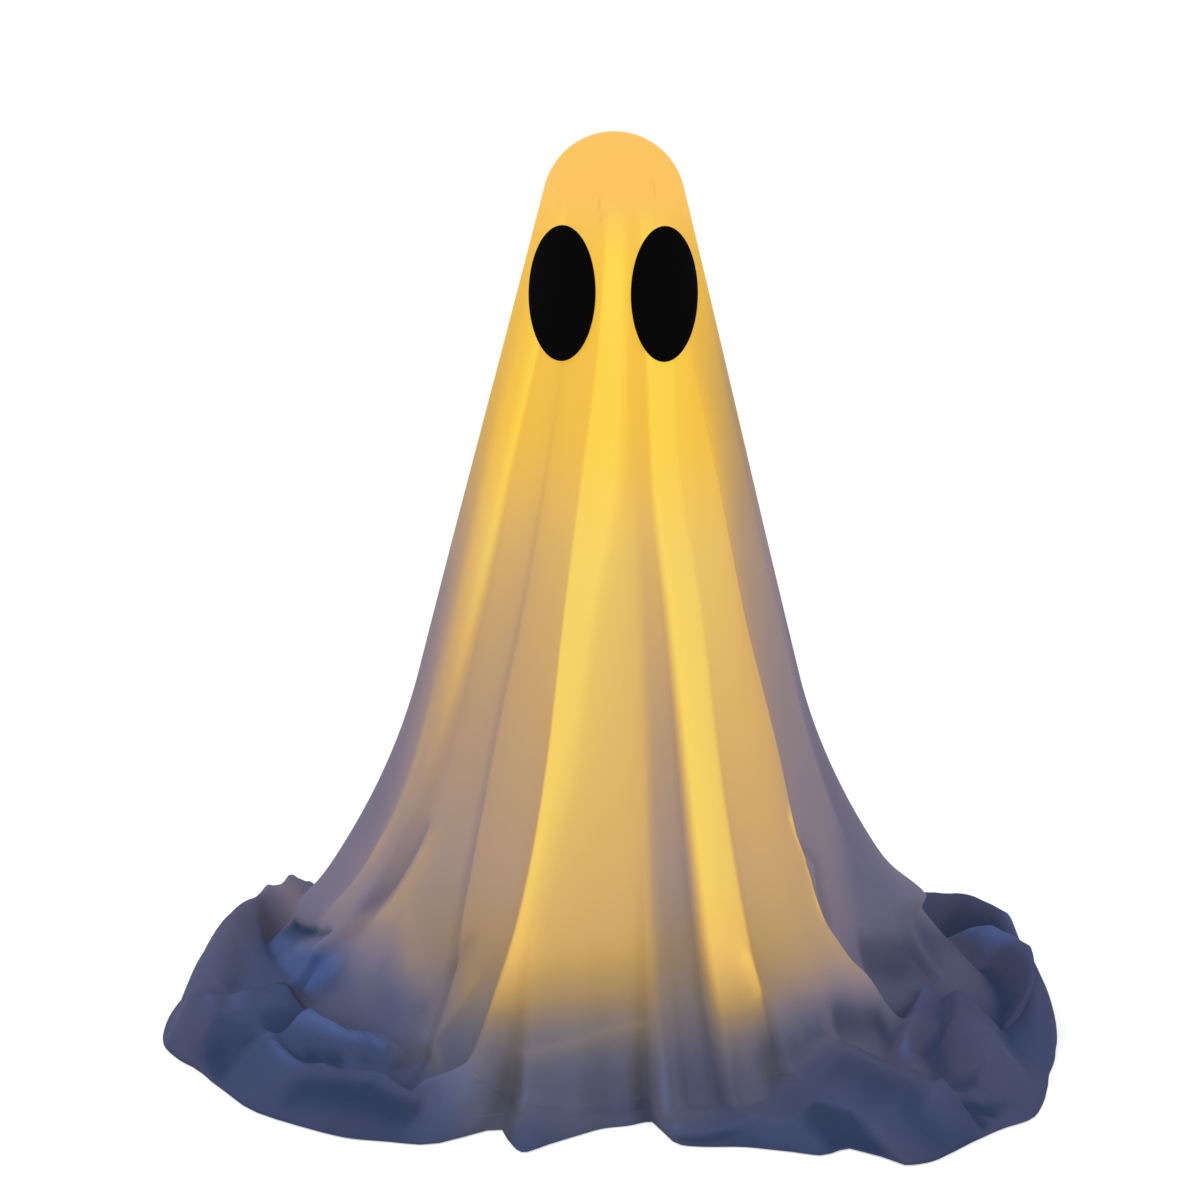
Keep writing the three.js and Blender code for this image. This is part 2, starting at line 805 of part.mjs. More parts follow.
// The rubber foot: a cup on the end of the leg, cut level with the floor when the leg is open
function makeFoot(reach, placing) {
  const grip = 16;
  const cup = solid(
    turned(
      [
        [0, -reach - 8],
        [footRadius, -reach - 8],
        [footRadius, -reach + 6],
        [footRadius - 1.5, -reach + grip + 4],
        [0, -reach + grip + 4],
      ],
      20,
    ),
  );
  const bore = solid(rod(legTubeRadius + seatGap, -reach + 6, -reach + grip + 6, 20));
  const below = block([-60, -60, -60], [60, 60, 0]).applyMatrix4(placing.clone().invert());
  return cup.subtract(bore).subtract(solid(below));
}

// One leg, in a group that stands at its pivot and another that tilts it to its open angle
function addLeg(number, angle) {
  const pivot = new THREE.Group();
  pivot.rotation.z = angle * degrees;
  const turn = new THREE.Matrix4().makeRotationZ(angle * degrees);
  pivot.position.set(pivotRadius, 0, pivotHeight).applyMatrix4(turn);
  const tilt = new THREE.Group();
  tilt.rotation.y = -legSpread * degrees;
  pivot.add(tilt);
  ghost.add(pivot);

  const upright = new THREE.Matrix4().makeRotationY(-legSpread * degrees).setPosition(0, 0, pivotHeight);
  upright.setPosition(pivotHeight * Math.tan(legSpread * degrees) * -1, 0, pivotHeight);
  const reach = pivotHeight / Math.cos(legSpread * degrees);
  const tubeTop = -18 - seatGap;
  const tubeEnd = -reach + 6 + seatGap;
  addPiece(`leg_knuckle_${number}`, makeKnuckle(), blackPlastic, tilt);
  addPiece(
    `leg_tube_${number}`,
    sleeve(legTubeRadius, legTubeRadius - legTubeWall, tubeEnd, tubeTop, 20),
    aluminium,
    tilt,
  );
  addPiece(`leg_foot_${number}`, makeFoot(reach, upright), rubber, tilt);
  addPiece(`leg_pin_${number}`, makeLegPin(), steel, pivot);
}

function addPole() {
  const inner = poleRadius - poleWall;
  const upperTop = lampFloor - 9;
  addPiece("lower_pole", sleeve(poleRadius, inner, poleFoot, poleJoint - seatGap / 2, 24), aluminium);
  addPiece("upper_pole", sleeve(poleRadius, inner, poleJoint + seatGap / 2, upperTop, 24), aluminium);
  const bore = poleRadius + seatGap;
  const outer = bore + couplerWall;
  const [bottom, top] = [poleJoint - couplerLength / 2, poleJoint + couplerLength / 2];
  const coupler = turned(
    [
      [bore, bottom],
      [outer - 0.8, bottom],
      [outer, bottom + 2],
      [outer, poleJoint - 3],
      [outer + 0.8, poleJoint - 2],
      [outer + 0.8, poleJoint + 2],
      [outer, poleJoint + 3],
      [outer, top - 2],
      [outer - 0.8, top],
      [bore, top],
      [bore, bottom],
    ],
    28,
  );
  addPiece("pole_coupler", coupler, blackPlastic);
}

// The battery box stands behind the pole on a clip. These sizes are measured from the pole.
const box = (() => {
  const back = poleRadius + seatGap + bracketThickness + 3;
  const halfWidth = (cellCount * cellPitch) / 2 + seatGap;
  const bayDepth = 2 * cellRadius + 2 * seatGap;
  const cellY = back + boxFloor + seatGap + cellRadius;
  const slotBack = back + boxFloor + bayDepth + 0.6;
  const slotFront = slotBack + coverThickness + 2 * seatGap;
  const bayBottom = boxFoot + boxFloor;
  const cellSpace = springHeight + cellLength + cellNubLength + contactThickness + 4 * seatGap;
  const bayTop = bayBottom + cellSpace;
  const switchBottom = bayTop + 1.6;
  const switchTop = switchBottom + switchBay;
  const top = switchTop + 2;
  const front = slotFront + lipThickness;
  return {
    back,
    halfWidth,
    cellY,
    slotBack,
    slotFront,
    front,
    bayBottom,
    bayTop,
    switchBottom,
    switchTop,
    top,
    outer: halfWidth + boxWall,
    leadX: -14,
    leadY: back + 9,
    switchX: 8,
    switchY: back + 9,
  };
})();

// The lead's route from the switch bay to the lamp, clear of the pole coupler
const leadRoute = {
  beside: poleRadius + couplerWall + 3 * seatGap + leadRadius + 0.8,
  lampEntry: poleRadius + seatGap + 3.7 + seatGap + leadRadius + 0.6,
};

function makeBatteryBox() {
  const { back, front, outer, halfWidth, slotBack, slotFront, bayBottom, bayTop } = box;
  let tray = solid(block([-outer, back, boxFoot], [outer, front, box.top]));
  const cuts = [
    block([-halfWidth, back + boxFloor, bayBottom], [halfWidth, slotBack + 1, bayTop]),
    block([-halfWidth, back + boxFloor, box.switchBottom], [halfWidth, slotBack + 1, box.switchTop]),
    block([-outer + 0.9, slotBack, bayBottom], [outer - 0.9, slotFront, box.top + 1]),
    block([-outer + 0.9 + lipWidth, slotFront - 1, bayBottom], [outer - 0.9 - lipWidth, front + 1, box.top + 1]),
    block(
      [box.switchX - 2 - seatGap, box.switchY - 1.6 - seatGap, box.switchTop - 1],
      [box.switchX + 2 + switchTravel + seatGap, box.switchY + 1.6 + seatGap, box.top + 1],
    ),
  ];
  for (const cut of cuts) tray = tray.subtract(solid(cut));
  const leadHole = rod(leadRadius + 1.1, box.switchTop - 1, box.top + 1, 14);
  tray = tray.subtract(solid(leadHole.translate(box.leadX, box.leadY, 0)));
  for (const x of [-1, 1]) {
    const screwHole = rod(1.6 + seatGap, 0, 6, 12).rotateX(-Math.PI / 2);
    tray = tray.subtract(solid(screwHole.translate(x * clipScrewSpacing, back - 1, clipHeight)));
  }
  return tray;
}

const clipScrewSpacing = 11;

// The sliding cover: a plate in the box's side grooves, with ribs to push it by
function makeBatteryCover() {
  const half = box.outer - 0.9 - seatGap;
  const plateBack = box.slotBack + seatGap;
  const plateFront = plateBack + coverThickness;
  const bottom = box.bayBottom + seatGap;
  let cover = solid(block([-half, plateBack, bottom], [half, plateFront, box.top]));
  const ribHalf = 9;
  for (let rib = 0; rib < 4; rib++) {
    const low = box.top - 9 - rib * 3.4;
    cover = cover.add(
      solid(block([-ribHalf, plateFront - 0.4, low], [ribHalf, plateFront + 1, low + 1.4])),
    );
  }
  return cover;
}

// A battery cell standing on its flat end, from the height zero up
function makeCell() {
  return turned(
    [
      [0, 0],
      [cellRadius - 0.7, 0],
      [cellRadius, 0.7],
      [cellRadius, cellLength - 0.9],
      [cellRadius - 0.9, cellLength],
      [cellNubRadius, cellLength],
      [cellNubRadius, cellLength + cellNubLength],
      [0, cellLength + cellNubLength],
    ],
    24,
  );
}

// A conical contact spring of round wire, from the height zero up
function makeContactSpring() {
  const [wide, narrow] = [4.6, 2.6];
  const stepsPerTurn = 8;
  const sides = 5;
  const steps = springTurns * stepsPerTurn;
  const rise = springHeight - 2 * springWire;
  const centre = (share) => {
    const turn = share * springTurns * 2 * Math.PI;
    const radius = THREE.MathUtils.lerp(wide, narrow, share);
    return new THREE.Vector3(radius * Math.cos(turn), radius * Math.sin(turn), springWire + rise * share);
  };
  const points = [];
  for (let step = 0; step <= steps; step++) {
    const share = step / steps;
    const middle = centre(share);
    const outward = new THREE.Vector3(middle.x, middle.y, 0).normalize();
    for (let side = 0; side < sides; side++) {
      const turn = (side / sides) * 2 * Math.PI;
      const point = middle.clone().addScaledVector(outward, springWire * Math.cos(turn));
      point.z += springWire * Math.sin(turn);
      points.push(point);
    }
  }
  const at = (step, side) => step * sides + (side % sides);
  const faces = [];
  for (let step = 0; step < steps; step++) {
    for (let side = 0; side < sides; side++) {
      const [a, b] = [at(step, side), at(step, side + 1)];
      const [c, d] = [at(step + 1, side), at(step + 1, side + 1)];
      faces.push([a, d, b], [a, c, d]);
    }
  }
  for (let side = 1; side + 1 < sides; side++) {
    faces.push([at(0, 0), at(0, side), at(0, side + 1)]);
    faces.push([at(steps, 0), at(steps, side + 1), at(steps, side)]);
  }
  return new THREE.BufferGeometry().setFromPoints(points).setIndex(faces.flat());
}

// The cells lie side by side, every other one upside down, with a spring at each flat end
function addCells() {
  const half = contactSize / 2;
  const plate = block([-half, -half, 0], [half, half, contactThickness]);
  for (let cell = 0; cell < cellCount; cell++) {
    const x = (cell - (cellCount - 1) / 2) * cellPitch;
    const upsideDown = cell % 2 === 1;
    const stack = new THREE.Group();
    stack.position.set(x, box.cellY, upsideDown ? box.bayTop : box.bayBottom);
    stack.rotation.x = upsideDown ? Math.PI : 0;
    const cellFoot = seatGap + springHeight + seatGap;
    const plateFoot = cellFoot + cellLength + cellNubLength + seatGap;
    addPiece(`battery_${cell + 1}`, makeCell(), cellJacket, stack).position.z = cellFoot;
    addPiece(`contact_spring_${cell + 1}`, makeContactSpring(), steel, stack).position.z = seatGap;
    addPiece(`contact_plate_${cell + 1}`, plate, steel, stack).position.z = plateFoot;
    ghost.add(stack);
  }
}

// The switch: a housing under the box's top wall, and a slider that stands through its slot
function addSwitch() {
  const [x, y] = [box.switchX + switchTravel / 2, box.switchY];
  const top = box.switchTop - seatGap;
  const bottom = box.switchBottom + seatGap;
  const footHalf = 2.4;
  const trackHalf = footHalf + switchTravel / 2 + seatGap;
  const housing = solid(block([x - trackHalf - 1.4, y - 3.8, bottom], [x + trackHalf + 1.4, y + 3.8, top]));
  const track = solid(block([x - trackHalf, y - 2.4, top - 4.5], [x + trackHalf, y + 2.4, top + 1]));
  addPiece("switch_housing", housing.subtract(track), blackPlastic);

  const foot = solid(
    block([-footHalf, -2.1, top - 4.5 + seatGap], [footHalf, 2.1, top - 1.2]),
  );
  const stem = solid(block([-2, -1.6, top - 2], [2, 1.6, box.top + 2]));
  let slider = foot.add(stem);
  const knobBottom = box.top + seatGap;
  slider = slider.add(solid(block([-3, -2.4, knobBottom], [3, 2.4, box.top + 2.4])));
  for (const rib of [-1.6, 0, 1.6]) {
    slider = slider.add(
      solid(block([rib - 0.4, -2.4, box.top + 2], [rib + 0.4, 2.4, box.top + 3])),
    );
  }
  addPiece("switch_slider", slider, whitePlastic).position.set(box.switchX, y, 0);
}

// The clip: a plate screwed to the box, and jaws that snap round the pole
function makePoleClip() {
  const inner = poleRadius + seatGap;
  const outer = inner + 2.6;
  const [low, high] = [clipHeight - 9, clipHeight + 9];
  const plateFront = box.back - seatGap;
  const plate = solid(block([-17, plateFront - bracketThickness, low], [17, plateFront, high]));
  const ring = solid(rod(outer, low, high, 28));
  const bore = solid(rod(inner, low - 1, high + 1, 28));
  const mouth = solid(block([-4, -outer - 1, low - 1], [4, 0, high + 1]));
  const bridge = solid(block([-5, inner + 1, low], [5, plateFront - 1, high]));
  let clip = plate.add(ring).add(bridge).subtract(bore).subtract(mouth);
  for (const x of [-1, 1]) {
    const hole = rod(1.6 + seatGap, 0, 8, 12).rotateX(-Math.PI / 2);
    clip = clip.subtract(
      solid(hole.translate(x * clipScrewSpacing, plateFront - bracketThickness - 2, clipHeight)),
    );
  }
  return clip;
}

function makeClipScrew() {
  const head = 2.2;
  const length = bracketThickness + boxFloor + seatGap;
  return turned(
    [
      [0, -length],
      [1.6, -length],
      [1.6, 0],
      [3.1, 0],
      [3.1, head - 0.7],
      [2.2, head],
      [0, head],
    ],
    12,
  ).rotateX(Math.PI / 2);
}

// The two-core lead, held by its grommet, the strap and the lamp
function makeLead() {
  const { leadX, leadY, switchTop, top } = box;
  const { beside, lampEntry } = leadRoute;
  const route = new THREE.CatmullRomCurve3(
    [
      [leadX, leadY, switchTop - 5],
      [leadX, leadY, top + 5],
      [leadX + 4, leadY - 2, top + 16],
      [-4, beside + 2, poleJoint + 14],
      [0, beside, leadStrapHeight - 12],
      [0, beside, leadStrapHeight - 4],
      [0, beside, leadStrapHeight + 4],
      [0, lampEntry, lampFoot + 4],
      [0, lampEntry, lampFloor + 4],
    ].map(([x, y, z]) => new THREE.Vector3(x, y, z)),
    false,
    "centripetal",
  );
  const section = new THREE.Shape().absarc(0, 0, leadRadius, 0, 2 * Math.PI, false);
  return new THREE.ExtrudeGeometry(section, {
    steps: 36,
    curveSegments: 4,
    extrudePath: route,
  });
}

// The grommet in the box's top wall
function makeGrommet() {
  const [inner, neck] = [leadRadius + seatGap, leadRadius + 1.1 - seatGap];
  const flange = neck + 1.4;
  const { top, leadX, leadY } = box;
  return turned(
    [
      [inner, top - 2],
      [neck, top - 2],
      [neck, top + seatGap],
      [flange, top + seatGap],
      [flange - 0.5, top + 1.8],
      [inner, top + 4],
      [inner, top - 2],
    ],
    14,
  ).translate(leadX, leadY, 0);
}

// A strap that holds the lead to the upper pole
function makeLeadStrap() {
  const [low, high] = [leadStrapHeight - 3, leadStrapHeight + 3];
  const y = leadRoute.beside;
  const around = solid(rod(poleRadius + seatGap + 1.2, low, high, 24));
  const eye = solid(rod(leadRadius + seatGap + 1.2, low, high, 16).translate(0, y, 0));
  const poleBore = solid(rod(poleRadius + seatGap, low - 1, high + 1, 24));
  const leadBore = solid(rod(leadRadius + seatGap, low - 1, high + 1, 12).translate(0, y, 0));
  const web = solid(block([-1.2, poleRadius + 1, low], [1.2, y - leadRadius - 1, high]));
  return around.add(eye).add(web).subtract(poleBore).subtract(leadBore);
}

function addBatteryBox() {
  addPiece("battery_box", makeBatteryBox(), whitePlastic);
  addPiece("battery_cover", makeBatteryCover(), whitePlastic);
  addCells();
  addSwitch();
  addPiece("pole_clip", makePoleClip(), blackPlastic);
  const screwSeat = box.back - seatGap - bracketThickness - seatGap;
  for (const [name, side] of [["left", -1], ["right", 1]]) {
    const screw = addPiece(`clip_screw_${name}`, makeClipScrew(), steel);
    screw.position.set(side * clipScrewSpacing, screwSeat, clipHeight);
  }
  addPiece("lamp_lead", makeLead(), leadJacket);
  addPiece("lead_grommet", makeGrommet(), rubber);
  addPiece("lead_strap", makeLeadStrap(), blackPlastic);
}

addPiece("sheet", makeSheet(), cloth);
addPiece("eye_left", makeEye(-1), felt);
addPiece("eye_right", makeEye(1), felt);
addPiece("head_ball", makeHeadBall(), foam);
addLamp();
addPole();
addPiece("tripod_hub", makeHub(), blackPlastic);
addPiece("pole_set_screw", makeSetScrew(), steel);
legAngles.forEach((angle, index) => addLeg(index + 1, angle));
addBatteryBox();

export default ghost;
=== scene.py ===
"""Looks of the light-up ghost: a lit sheet with two felt eyes, draped over a lamp stand.

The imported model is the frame. The sheet and the eyes are made here as cloth and felt, and the
stand's pieces keep their solids and get their finishes.
"""

import math

import bmesh
import bpy
import numpy as np
from mathutils import Matrix, Vector


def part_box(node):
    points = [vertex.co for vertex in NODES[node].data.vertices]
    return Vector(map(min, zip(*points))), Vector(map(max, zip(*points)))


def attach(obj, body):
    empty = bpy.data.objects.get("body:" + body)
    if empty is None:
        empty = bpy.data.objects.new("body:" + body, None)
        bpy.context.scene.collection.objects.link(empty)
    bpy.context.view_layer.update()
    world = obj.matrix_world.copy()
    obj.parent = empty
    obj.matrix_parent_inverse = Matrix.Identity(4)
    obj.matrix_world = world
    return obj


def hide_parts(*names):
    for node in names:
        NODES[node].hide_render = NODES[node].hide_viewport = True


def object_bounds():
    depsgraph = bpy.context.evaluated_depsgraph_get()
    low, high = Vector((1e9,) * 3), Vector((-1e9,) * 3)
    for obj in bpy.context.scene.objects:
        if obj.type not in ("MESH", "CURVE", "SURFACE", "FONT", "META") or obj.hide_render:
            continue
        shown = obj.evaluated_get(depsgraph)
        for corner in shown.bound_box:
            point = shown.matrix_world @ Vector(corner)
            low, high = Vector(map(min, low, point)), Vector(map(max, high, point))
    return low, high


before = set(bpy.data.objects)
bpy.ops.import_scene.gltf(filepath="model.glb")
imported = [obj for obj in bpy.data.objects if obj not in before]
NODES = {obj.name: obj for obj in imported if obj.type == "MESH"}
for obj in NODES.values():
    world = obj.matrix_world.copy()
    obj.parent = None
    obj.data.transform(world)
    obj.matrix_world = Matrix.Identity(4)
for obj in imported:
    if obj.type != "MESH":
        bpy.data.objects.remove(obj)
CAD_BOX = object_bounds()

bl_info = {
    "name": "Light-Up Ghost",
    "version": (1, 0, 0),
    "blender": (4, 5, 0),
    "location": "View3D > Sidebar > Ghost",
    "description": "Builds a draped, lit ghost on its lamp stand",
    "category": "Object",
}

MM = 0.001

# The sheet's main form, in millimetres, as in the solids
FIGURE_HEIGHT = CAD_BOX[1].z / MM
HEAD_RADIUS = 47.4
CONE_SLOPE = 0.2546
CONE_ANGLE = math.atan(CONE_SLOPE)
BALL_CENTRE = FIGURE_HEIGHT - HEAD_RADIUS
DOME_RADIUS = HEAD_RADIUS * math.cos(CONE_ANGLE)
DOME_HEIGHT = BALL_CENTRE + HEAD_RADIUS * math.sin(CONE_ANGLE)
FLARE_TOP = 250
FOLD_TOP = FIGURE_HEIGHT - 62
FOLD_GROWTH = 1.25
CLOTH_ON_FLOOR = 9.0
SOFT_CORNER = 9

# The sheet's net: its rows over the ball and on the floor, the heights at which the rows below
# the ball come closer together, and the height under which the skirt has marks
HEAD_ROWS = 13
FLOOR_ROWS = 38
BODY_TOP = 512
SKIRT_TOP = 150
MARKS_TOP = 420

# The felt eyes: from middle to middle, from the top of the head to their middles, how thick
# the felt is and how far off the sheet
EYE_SPACING = 66.5
EYE_DROP = 104.6
FELT_THICKNESS = 1.6
FELT_GAP = 0.25

# Heights at which the fold lines' angles from the front are given, from the floor up, and the
# one at which the net's columns are spaced
LINE_HEIGHTS = (0, 60, 120, 215, 300, 390, 480, 560)
SPACING_HEIGHT = 215
FOLD_LINES = {
    "left_side": (-102, -99, -95, -91, -90, -90, -90, -90),
    "left_slope": (-91, -86, -78, -72, -72, -72, -72, -72),
    "left_pleat": (-76, -70, -60, -49, -46, -44, -40, -37),
    "left_crease": (-36, -34, -34.6, -33.8, -30.5, -27.5, -25, -22),
    "centre_pleat": (-27, -22.5, -19.3, -16.4, -15, -12, -7.3, -5),
    "centre_end": (-14, -15.7, -15.2, -10.3, -7.4, 0, 2.2, 3),
    "valley": (8, 8, 8, 8.5, 8.5, 8, 9, 10),
    "right_pleat": (21, 20.4, 20, 19.8, 18.5, 16, 17.5, 19),
    "bright_end": (33, 31, 30, 29.6, 30, 28, 32, 33),
    "right_edge": (68, 58, 49.3, 51.2, 48, 46.8, 43.5, 44),
    "right_slope": (80, 76, 72, 69, 68, 68, 68, 68),
    "right_side": (97, 96, 95, 94, 93, 93, 93, 93),
    "back_1": (127, 127, 126, 125, 124, 123, 122, 122),
    "back_2": (158, 157, 156, 156, 155, 155, 155, 155),
    "back_3": (184, 184, 184, 185, 186, 187, 188, 188),
    "back_4": (211, 212, 213, 214, 215, 216, 217, 217),
    "back_5": (242, 243, 244, 245, 245, 245, 245, 245),
}

# How strongly the lamp shows through, at these heights, in shaded, dull and bright cloth
GLOW_HEIGHTS = (0, 25, 50, 75, 110, 200, 300, 420, 520)
GLOW_CURVES = (
    (0.0, 0.03, 0.10, 0.20, 0.29, 0.35, 0.39, 0.50, 0.76),
    (0.03, 0.09, 0.21, 0.40, 0.55, 0.64, 0.71, 0.84, 0.90),
    (0.05, 0.12, 0.31, 0.66, 0.91, 0.97, 0.98, 0.98, 1.0),
)

# Up to the first height the cloth is as bright as near the floor, and from the second as near
# the head
GLOW_CHANGE = (90, 420)

# Stops round the sheet: the line, degrees from it, how far the fold stands out, and how bright
# the cloth is near the floor and near the head: 0 shaded, 1 dull, 2 bright
FOLD_STOPS = (
    ("left_side", 0, 0.55, 0.0, 0.5),
    ("left_slope", 0, 0.15, 0.15, 0.6),
    ("left_pleat", -7, 0.80, 0.35, 1.5),
    ("left_pleat", -1.1, 0.95, 0.3, 1.9),
    ("left_pleat", 0.6, 0.35, 0.5, 1.0),
    ("left_pleat", 6, 0.42, 0.6, 1.0),
    ("left_crease", -1.5, 0.36, 0.6, 0.9),
    ("left_crease", 0, 0.14, 0.4, 0.8),
    ("left_crease", 1.5, 0.32, 0.8, 0.9),
    ("centre_pleat", -3, 0.26, 0.9, 1.1),
    ("centre_pleat", -0.8, 0.30, 0.9, 1.2),
    ("centre_pleat", 1.1, 0.85, 1.95, 1.9),
    ("centre_end", 0, 0.80, 1.7, 2.0),
    ("centre_end", 4, 0.62, 1.5, 1.7),
    ("valley", 0, 0.28, 1.35, 1.3),
    ("valley", 4, 0.14, 0.7, 1.1),
    ("right_pleat", -0.9, 0.08, 0.5, 1.2),
    ("right_pleat", 0.8, 1.0, 2.0, 2.0),
    ("right_pleat", 5, 0.95, 1.9, 1.9),
    ("bright_end", -1.2, 0.92, 1.8, 1.8),
    ("bright_end", 0.8, 0.76, 1.15, 1.6),
    ("bright_end", 7, 0.78, 1.2, 1.5),
    ("right_edge", -1, 0.76, 1.0, 1.2),
    ("right_edge", 1.1, 0.28, 0.1, 0.9),
    ("right_slope", 0, 0.50, 0.0, 0.3),
    ("right_slope", 9, 0.18, 0.0, 0.1),
    ("right_side", 0, 0.45, 0.1, 0.2),
    ("right_side", 2, 0.28, 0.13, 0.25),
    ("right_side", 15, 0.12, 0.45, 0.85),
    ("back_1", -2, 0.20, 0.9, 1.0),
    ("back_1", 0, 0.90, 1.9, 1.9),
    ("back_1", 15, 0.20, 1.0, 1.1),
    ("back_2", 0, 0.75, 1.8, 1.9),
    ("back_2", 2, 0.35, 1.0, 1.1),
    ("back_2", 14, 0.08, 0.9, 1.0),
    ("back_3", -2, 0.16, 1.0, 1.1),
    ("back_3", 0, 0.85, 2.0, 2.0),
    ("back_3", 14, 0.24, 1.1, 1.1),
    ("back_4", 0, 0.90, 1.9, 2.0),
    ("back_4", 1.8, 0.30, 1.0, 1.0),
    ("back_4", 16, 0.12, 0.9, 1.0),
    ("back_5", -2, 0.24, 0.5, 0.8),
    ("back_5", 0, 0.75, 1.4, 1.6),
    ("back_5", 11, 0.14, 0.3, 0.5),
)
STOP_NAMES, *STOP_NUMBERS = zip(*FOLD_STOPS)
STOP_LINES = [FOLD_LINES[name] for name in STOP_NAMES]
STOP_OFFSETS, STOP_STANDS, STOP_LOW_GLOW, STOP_HIGH_GLOW = np.array(STOP_NUMBERS, float)

# Share of the way to the hem at which the skirt's slope would meet the floor
FOOT_SHARES = (
    (-90, 0.92), (-78, 0.85), (-68, 0.79), (-52, 0.73), (-34, 0.75), (-18, 0.88), (-4, 0.90),
    (9, 0.94), (16, 0.84), (34, 0.72), (56, 0.74), (74, 0.82), (90, 0.96), (102, 0.95),
    (125, 0.78), (180, 0.80), (225, 0.78),
)

# The hem's outline: angle from the front and distance from the pole
HEM_STOPS = (
    (-110, 316), (-100, 307), (-90, 303), (-81, 301), (-74, 294), (-67, 285), (-59, 285),
    (-49, 290), (-41, 288), (-34, 287), (-28, 279), (-23, 273), (-20, 251), (-16.5, 229),
    (-13.5, 250), (-10.5, 268), (-8, 252), (-4, 231), (0, 216), (4, 211), (7.8, 204), (10, 249),
    (13, 256), (18, 262), (23, 279), (26.5, 294), (29.6, 290), (31.2, 292), (32.4, 332),
    (35, 335), (39, 330), (44, 324), (49, 322), (54, 326), (60, 319), (66, 311), (73, 305),
    (81, 305), (88, 308), (96, 311), (102, 319), (108, 328), (114, 340), (121, 360), (129, 358),
    (140, 334), (154, 302), (168, 284), (182, 276), (194, 290), (206, 300), (218, 332),
    (228, 348), (240, 334),
)

# The big forms of the spare cloth on the floor, as in the solids: the crest's line, its height
# at each end, and its half-width on the left and on the right of the line's direction
FLOOR_ROLLS = (
    # left: the outer roll, the crest inside it, the peak and the long crest in front
    (((-264, -120), (-270, -60), (-267, -20), (-263, 20), (-260, 60), (-254, 98), (-242, 122),
      (-226, 134), (-192, 144)), 25, 62, 30, 34),
    (((-252, 98), (-246, 52), (-234, -8), (-222, -48), (-208, -79), (-193, -97)), 48, 37, 9, 34),
    (((-197, -104), (-186, -121), (-172, -134), (-155, -140), (-132, -137)), 34, 24, 14, 24),
    (((-222, -108), (-213, -140), (-196, -172), (-168, -180), (-140, -192), (-119, -206)),
     25, 12, 12, 36),
    (((-119, -206), (-98, -199), (-78, -190)), 12, 24, 12, 30),
    # right: the long crest in front, the cloth behind it, the near roll and the far roll
    (((127, -154), (148, -177), (167, -199), (186, -212), (204, -218), (222, -210)),
     36, 25, 10, 36),
    (((235, -50), (242, -104), (250, -144), (256, -180)), 34, 16, 26, 18),
    (((212, -66), (200, -96), (192, -122), (188, -149)), 38, 18, 14, 16),
    (((234, 72), (262, 66), (280, 52), (290, 36), (296, 12), (298, -14), (294, -66), (284, -112),
      (272, -150)), 60, 2, 32, 26),
    (((196, 196), (226, 200), (252, 198), (276, 194), (298, 182), (306, 160)), 45, 38, 26, 26),
    # back
    (((-160, 214), (-112, 242), (-70, 246)), 24, 17, 20, 24),
    (((-226, 190), (-204, 236), (-160, 276), (-110, 264)), 34, 10, 24, 22),
    (((60, 226), (104, 242), (150, 222)), 20, 18, 20, 20),
    (((-44, 218), (0, 238), (34, 262)), 17, 10, 16, 20),
    (((150, 262), (190, 246), (206, 214)), 10, 30, 22, 24),
)

